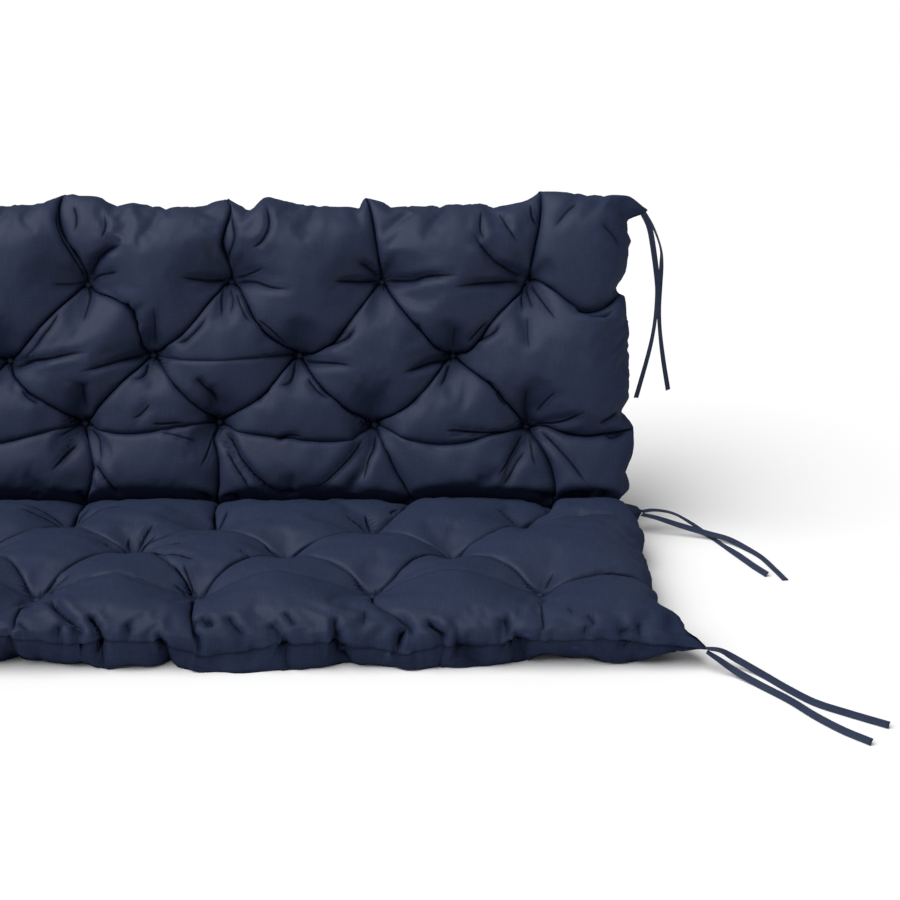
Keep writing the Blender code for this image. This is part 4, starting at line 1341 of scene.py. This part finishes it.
# The creases get edges of their own, and the hidden under panel gets cells twice as wide
split = bmesh.new()
split.from_mesh(cover.data)
grid_place = split.verts.layers.float_vector["grid_place"]
pattern = split.verts.layers.float_vector["pattern"]
middles = [vert for vert in split.verts if vert[grid_place].z > 0.9
           and vert[grid_place].x % 1.0 > 0.25 and vert[grid_place].y % 1.0 > 0.25]
bmesh.ops.dissolve_verts(split, verts=middles)
spare_verts = [vert for vert in split.verts if vert[grid_place].z > 0.9 and len(vert.link_edges) == 2]
bmesh.ops.dissolve_verts(split, verts=spare_verts)
gaps, _ = crease_gaps(*np.array([vert[pattern][:2] for vert in split.verts]).T)
on_crease = gaps.min(axis=0) < ON_CREASE
lips = [vert for vert, chosen in zip(split.verts, on_crease) if chosen and vert[grid_place].z < 0.1]
bmesh.ops.connect_verts(split, verts=lips)
split.to_mesh(cover.data)
split.free()
cover.data.shade_smooth()

x, y, _ = read(cover.data, "cloth_place").T
flat_places = cover.data.uv_layers.new(name="flat")
loop_vertices = np.empty(len(cover.data.loops), np.int32)
cover.data.loops.foreach_get("vertex_index", loop_vertices)
flat_places.data.foreach_set("uv", np.stack([x, y], axis=1)[loop_vertices].astype(np.float32).ravel())

# Canvas: plain weave with slubs, painted shade in the creases, the folds, round the tufts and low on the
# front roll, dark seam lines, and a dull shine where it is taut. Two small bluish smudges are by the front
# seam.
CANVAS_DEEP = (0.0160, 0.0230, 0.0505, 1.0)
CANVAS_PALE = (0.0216, 0.0308, 0.0645, 1.0)
SLUB_THREAD = (0.0325, 0.0430, 0.0820, 1.0)
# Painted shade: low on the front roll, and in the creases, the folds and round the tufts
LOW_SHADE = (0.0090, 0.0125, 0.0280, 1.0)
CREASE_SHADE = (0.0040, 0.0055, 0.0120, 1.0)
SEAM_SHADE = (0.0030, 0.0040, 0.0090, 1.0)
SMUDGE_BLUE = (0.0270, 0.0340, 0.1250, 1.0)
SMUDGES = ((0.5369, 0.0490), (0.5992, 0.0255))
SMUDGE_ACROSS = 0.0044
SMUDGE_UP = 0.0036
SHINE = 0.25
SHINE_ROUGHNESS = 0.46

# Masks: where each starts, and its slope for each metre
LOW_ON_ROLL = (0.080, -22.0)
FRONT_ROLL = (-0.22, -14.0)
INSIDE_ENDS = (0.750, -10.0)
ON_BACK = (0.09, 25.0)
OFF_TUFT = (0.010, 70.0)
OFF_BUTTON = (0.0, 250.0)
BY_TUFT = (0.044, -25.0)

# Widths over which the lines and the painted shade fade, and the reach of the painted shade and the puckers
# round a tuft
SEAM_LINE = 0.0005
FOLD_SEAM_LINE = 0.0016
FOLD_VALLEY = 0.0013
FOLD_SHADOW_WIDTH = 0.0010
CREASE_VALLEY = 0.0013
CREASE_SHADOW_WIDTH = 0.0017
CREASE_DARK = 0.0042
CREASE_DARK_REACH = 0.050
LIP_AT = 0.0042
LIP_WIDTH = 0.0021
LIP_HEIGHT = 0.38
TUFT_DARK_REACH = 0.009
TUFT_CENTRE = 0.0005
PUCKER_REACH = 0.014
SEAT_PUCKERS = 0.25
SEAM_PUCKER_REACH = 0.007
SPOKES = 2.4
SPOKES_APART = 11.0
WEFT_GRAIN = (70.0, 800.0, 1.0)
WARP_GRAIN = (800.0, 40.0, 1.0)
SLUB_START = 0.42
SLUB_CONTRAST = 1.9


def sharp_line(distance, strength, width):
    """Height of a sharp valley along a line."""
    return strength * distance.size().fading(width)


def lipped_line(distance, strength):
    """A sharp valley with a low rounded lip on each side."""
    lip = (distance.size() - LIP_AT) * (1.0 / LIP_WIDTH)
    return sharp_line(distance, strength, FOLD_VALLEY) - strength * (lip * lip).fading(1.0) * LIP_HEIGHT


canvas = Cloth("cover_cloth", roughness=0.60, sheen=0.0)
place_x, place_y, place_z = canvas.parts(canvas.place)
front_roll = place_y.rising(*FRONT_ROLL)
# Mask of the painted shade low on the front roll, near the floor; it also dulls the coat there
low = place_z.rising(*LOW_ON_ROLL) * front_roll
from_ends = place_x.size().rising(*INSIDE_ENDS)
upright = place_z.rising(*ON_BACK)

tuft_x, tuft_y, tuft_gap = canvas.attribute("from_tuft")
clear = (upright + tuft_gap.rising(*OFF_TUFT)).clipped()
reach = (tuft_x * tuft_x + tuft_y * tuft_y) ** 0.5 + TUFT_CENTRE
around = canvas.node("ShaderNodeCombineXYZ", _0=tuft_x / reach * SPOKES, _1=tuft_y / reach * SPOKES, _2=0.0)
apart = canvas.node("ShaderNodeVectorMath", {"operation": "SCALE"}, _0=canvas.place, _3=SPOKES_APART)
spoke_place = canvas.node("ShaderNodeVectorMath", {"operation": "ADD"}, _0=around, _1=apart)
spokes = canvas.noise(spoke_place, scale=1.0, detail=1.0)
puckers = (spokes - 0.5).size() * tuft_gap.fading(PUCKER_REACH) * tuft_gap.rising(*OFF_BUTTON)
puckers = puckers * tuft_gap.rising(*BY_TUFT) * (upright * (1.0 - SEAT_PUCKERS) + SEAT_PUCKERS)

# Fold valleys for the bump, painted shadow lines along the folds, and painted shade inside them
folds = 0.0
fold_shadow_lines = 0.0
fold_shade = 0.0
for number in range(fold_sets):
    distance, strength, inside = canvas.attribute(f"fold_lines_{number}")
    fold_shade = inside + fold_shade
    folds = lipped_line(distance, strength) + folds
    fold_shadow_lines = sharp_line(distance, strength, FOLD_SHADOW_WIDTH) + fold_shadow_lines
folds = folds * clear
fold_shadow_lines = fold_shadow_lines * clear
crease_gap, crease_firmness, _ = canvas.attribute("crease_line")
# Painted shade along the creases, broad and darkest near the tufts; then the creases' valleys and their
# painted shadow lines
soft_crease_shade = sharp_line(crease_gap, crease_firmness, CREASE_DARK) * tuft_gap.fading(CREASE_DARK_REACH)
crease_line = sharp_line(crease_gap, crease_firmness * clear, CREASE_VALLEY)
crease_shadow_line = sharp_line(crease_gap, crease_firmness * clear, CREASE_SHADOW_WIDTH)
seam_gap, fold_gap, _ = canvas.attribute("seam_lines")
seam_line = sharp_line(seam_gap, 1.0, SEAM_LINE)
fold_line = sharp_line(fold_gap, 1.0, FOLD_SEAM_LINE)
seam_puckers = canvas.noise(canvas.place, 110.0, 1.0) * seam_gap.size().fading(SEAM_PUCKER_REACH)

canvas_flat = canvas.node("ShaderNodeUVMap")
wefts, warps = [
    canvas.noise(canvas.node("ShaderNodeVectorMath", {"operation": "MULTIPLY"}, _0=canvas_flat, _1=grain),
                 scale=1.0)
    for grain in (WEFT_GRAIN, WARP_GRAIN)
]
slubs = (wefts + warps) * 0.5
ripple = canvas.noise(canvas.place, 24.0, 3.0, Distortion=0.6)
bumps = None
for height, depth, strength in (
        (ripple, 0.0020, 0.5), (puckers, -0.018, 0.9), (seam_puckers, 0.0018, 0.7), (folds, -0.0050, 0.9),
        (crease_line, -0.0026, 0.9), (seam_line, -0.0004, 0.9), (slubs, 0.0010, 0.5)):
    bumps = canvas.bump(height, depth, strength, bumps)

# Painted shade: shadow lines along the folds and creases, darker round the tufts and inside the folds and
# creases, with the dark seam line across the fold
painted_shade = fold_shadow_lines * 0.8 + crease_shadow_line * 0.95 + fold_line + tuft_gap.fading(TUFT_DARK_REACH) * 0.5
painted_shade = (painted_shade + fold_shade + soft_crease_shade * (0.80 - upright * 0.55)).clipped()
colour = canvas.colour_between(canvas.noise(canvas.place, 6.0, 3.0), CANVAS_DEEP, CANVAS_PALE)
colour = canvas.colour_between((slubs - SLUB_START) * SLUB_CONTRAST, colour, SLUB_THREAD)
# Painted shade low on the front roll, where it turns down towards the floor
colour = canvas.colour_between(low * 0.25, colour, LOW_SHADE)
# The painted shade darkens the colour towards CREASE_SHADE
colour = canvas.colour_between(painted_shade * 0.78, colour, CREASE_SHADE)
colour = canvas.colour_between(seam_line * 0.65, colour, SEAM_SHADE)
for spot_x, spot_z in SMUDGES:
    across = (place_x - spot_x) * (1.0 / SMUDGE_ACROSS)
    up = (place_z - spot_z) * (1.0 / SMUDGE_UP)
    from_spot = across * across + up * up
    smudge = (from_spot * from_spot).fading(1.0) * front_roll
    colour = canvas.colour_between(smudge * 0.8, colour, SMUDGE_BLUE)
shine = (1.0 - low * 0.85) * from_ends * (1.0 - (painted_shade * 2.0).clipped()) * SHINE
cover_cloth = canvas.finish(Base_Color=colour, Normal=bumps, Coat_Weight=shine,
                            Coat_Roughness=SHINE_ROUGHNESS, Specular_IOR_Level=0.0)
cover.data.materials.clear()
cover.data.materials.append(cover_cloth)
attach(cover, "root")
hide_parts("cushion")


# Tuft buttons. Small flat discs covered in the same cloth, one on each side of every tuft,
# tied to each other through the filling with cord that the disc hides.
BUTTON_RADIUS = 0.0043
BUTTON_HALF = 0.0013
BUTTON_ABOVE = 0.0004
BUTTON_SEAT = 0.0050
BUTTON_PLEATS = 9.0
BUTTON_PLEAT = 0.04
BUTTON_DEEP = (0.0150, 0.0200, 0.0410, 1.0)
BUTTON_PALE = (0.0210, 0.0280, 0.0550, 1.0)
BUTTON_GRAIN = 1400.0

thread = Cloth("button_cloth", roughness=0.60, sheen=0.03)
thread_grain = thread.noise(thread.place, BUTTON_GRAIN)
button_cloth = thread.finish(
    Base_Color=thread.colour_between(thread_grain, BUTTON_DEEP, BUTTON_PALE),
    Normal=thread.bump(thread_grain, distance=0.00015, strength=0.5),
)

places = read(cover.data)
u, v, _ = read(cover.data, "pattern").T
under = read(cover.data, "grid_place")[:, 2]
for name, row in ROWS.items():
    if name in SEAMS:
        continue
    outward = Vector((0.0, 0.0, 1.0)) if row.from_fold < 0 else Vector(outward_back)
    for number, place in enumerate(even_places(len(row.across))):
        from_tuft = np.hypot(u - place, v - row_y[name])
        for panel, facing in ((0.0, outward), (1.0, -outward)):
            seat = places[(from_tuft < BUTTON_SEAT) & (under == panel)].mean(axis=0)
            centre = Vector(seat) + facing * BUTTON_ABOVE
            disc = bmesh.new()
            bmesh.ops.create_uvsphere(disc, u_segments=20, v_segments=12, radius=1.0)
            for vert in disc.verts:
                out = min(math.hypot(vert.co.x, vert.co.y), 1.0)
                pleats = math.cos(BUTTON_PLEATS * math.atan2(vert.co.y, vert.co.x) + number)
                rim = BUTTON_RADIUS * (1.0 + BUTTON_PLEAT * pleats * out ** 4)
                height = math.copysign((1.0 - out ** 3) ** 0.5, vert.co.z) if out < 1.0 else 0.0
                vert.co = (vert.co.x * rim, vert.co.y * rim, height * BUTTON_HALF)
            turn = facing.to_track_quat("Z", "Y").to_matrix().to_4x4()
            bmesh.ops.transform(disc, matrix=turn, verts=disc.verts)
            bmesh.ops.translate(disc, vec=centre, verts=disc.verts)
            bmesh.ops.recalc_face_normals(disc, faces=disc.faces)
            side_name = "face" if panel == 0.0 else "under"
            disc_data = bpy.data.meshes.new(f"disc_{name}_{number + 1}_{side_name}")
            disc.to_mesh(disc_data)
            disc.free()
            disc_data.shade_smooth()
            disc_data.materials.append(button_cloth)
            button = placed(disc_data.name, disc_data)
            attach(button, "root")
            if panel == 0.0:
                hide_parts(f"button_{name}_{number + 1}")


# Floor and light. A pale seamless floor, a dim white room round it, and one wide soft lamp
# above, to the left and a little in front.
FLOOR_HALF = 30.0
FLOOR_GREY = (0.86, 0.86, 0.86, 1.0)
FLOOR_ROUGHNESS = 0.9
ROOM_WHITE = (1.0, 1.0, 1.0, 1.0)
ROOM_LIGHT = 0.28
LAMP_ENERGY = 3.5
LAMP_WIDTH = 1.1
TO_LAMP = (-0.53, -0.23, 0.88)

floor_mesh = bmesh.new()
bmesh.ops.create_grid(floor_mesh, x_segments=1, y_segments=1, size=FLOOR_HALF)
floor_data = bpy.data.meshes.new("floor")
floor_mesh.to_mesh(floor_data)
floor_mesh.free()
floor_paint = bpy.data.materials.new("floor")
floor_paint.use_nodes = True
floor_paint.node_tree.nodes["Principled BSDF"].inputs["Base Color"].default_value = FLOOR_GREY
floor_paint.node_tree.nodes["Principled BSDF"].inputs["Roughness"].default_value = FLOOR_ROUGHNESS
floor_data.materials.append(floor_paint)
floor = placed("floor", floor_data)

world = bpy.data.worlds.new("studio")
world.use_nodes = True
world.node_tree.nodes["Background"].inputs["Color"].default_value = ROOM_WHITE
world.node_tree.nodes["Background"].inputs["Strength"].default_value = ROOM_LIGHT
bpy.context.scene.world = world
bpy.context.scene.view_settings.view_transform = "Standard"

soft_light = bpy.data.lights.new("overhead", "SUN")
soft_light.energy = LAMP_ENERGY
soft_light.angle = LAMP_WIDTH
overhead = placed("overhead", soft_light)
overhead.rotation_euler = Vector(TO_LAMP).to_track_quat("Z", "Y").to_euler()
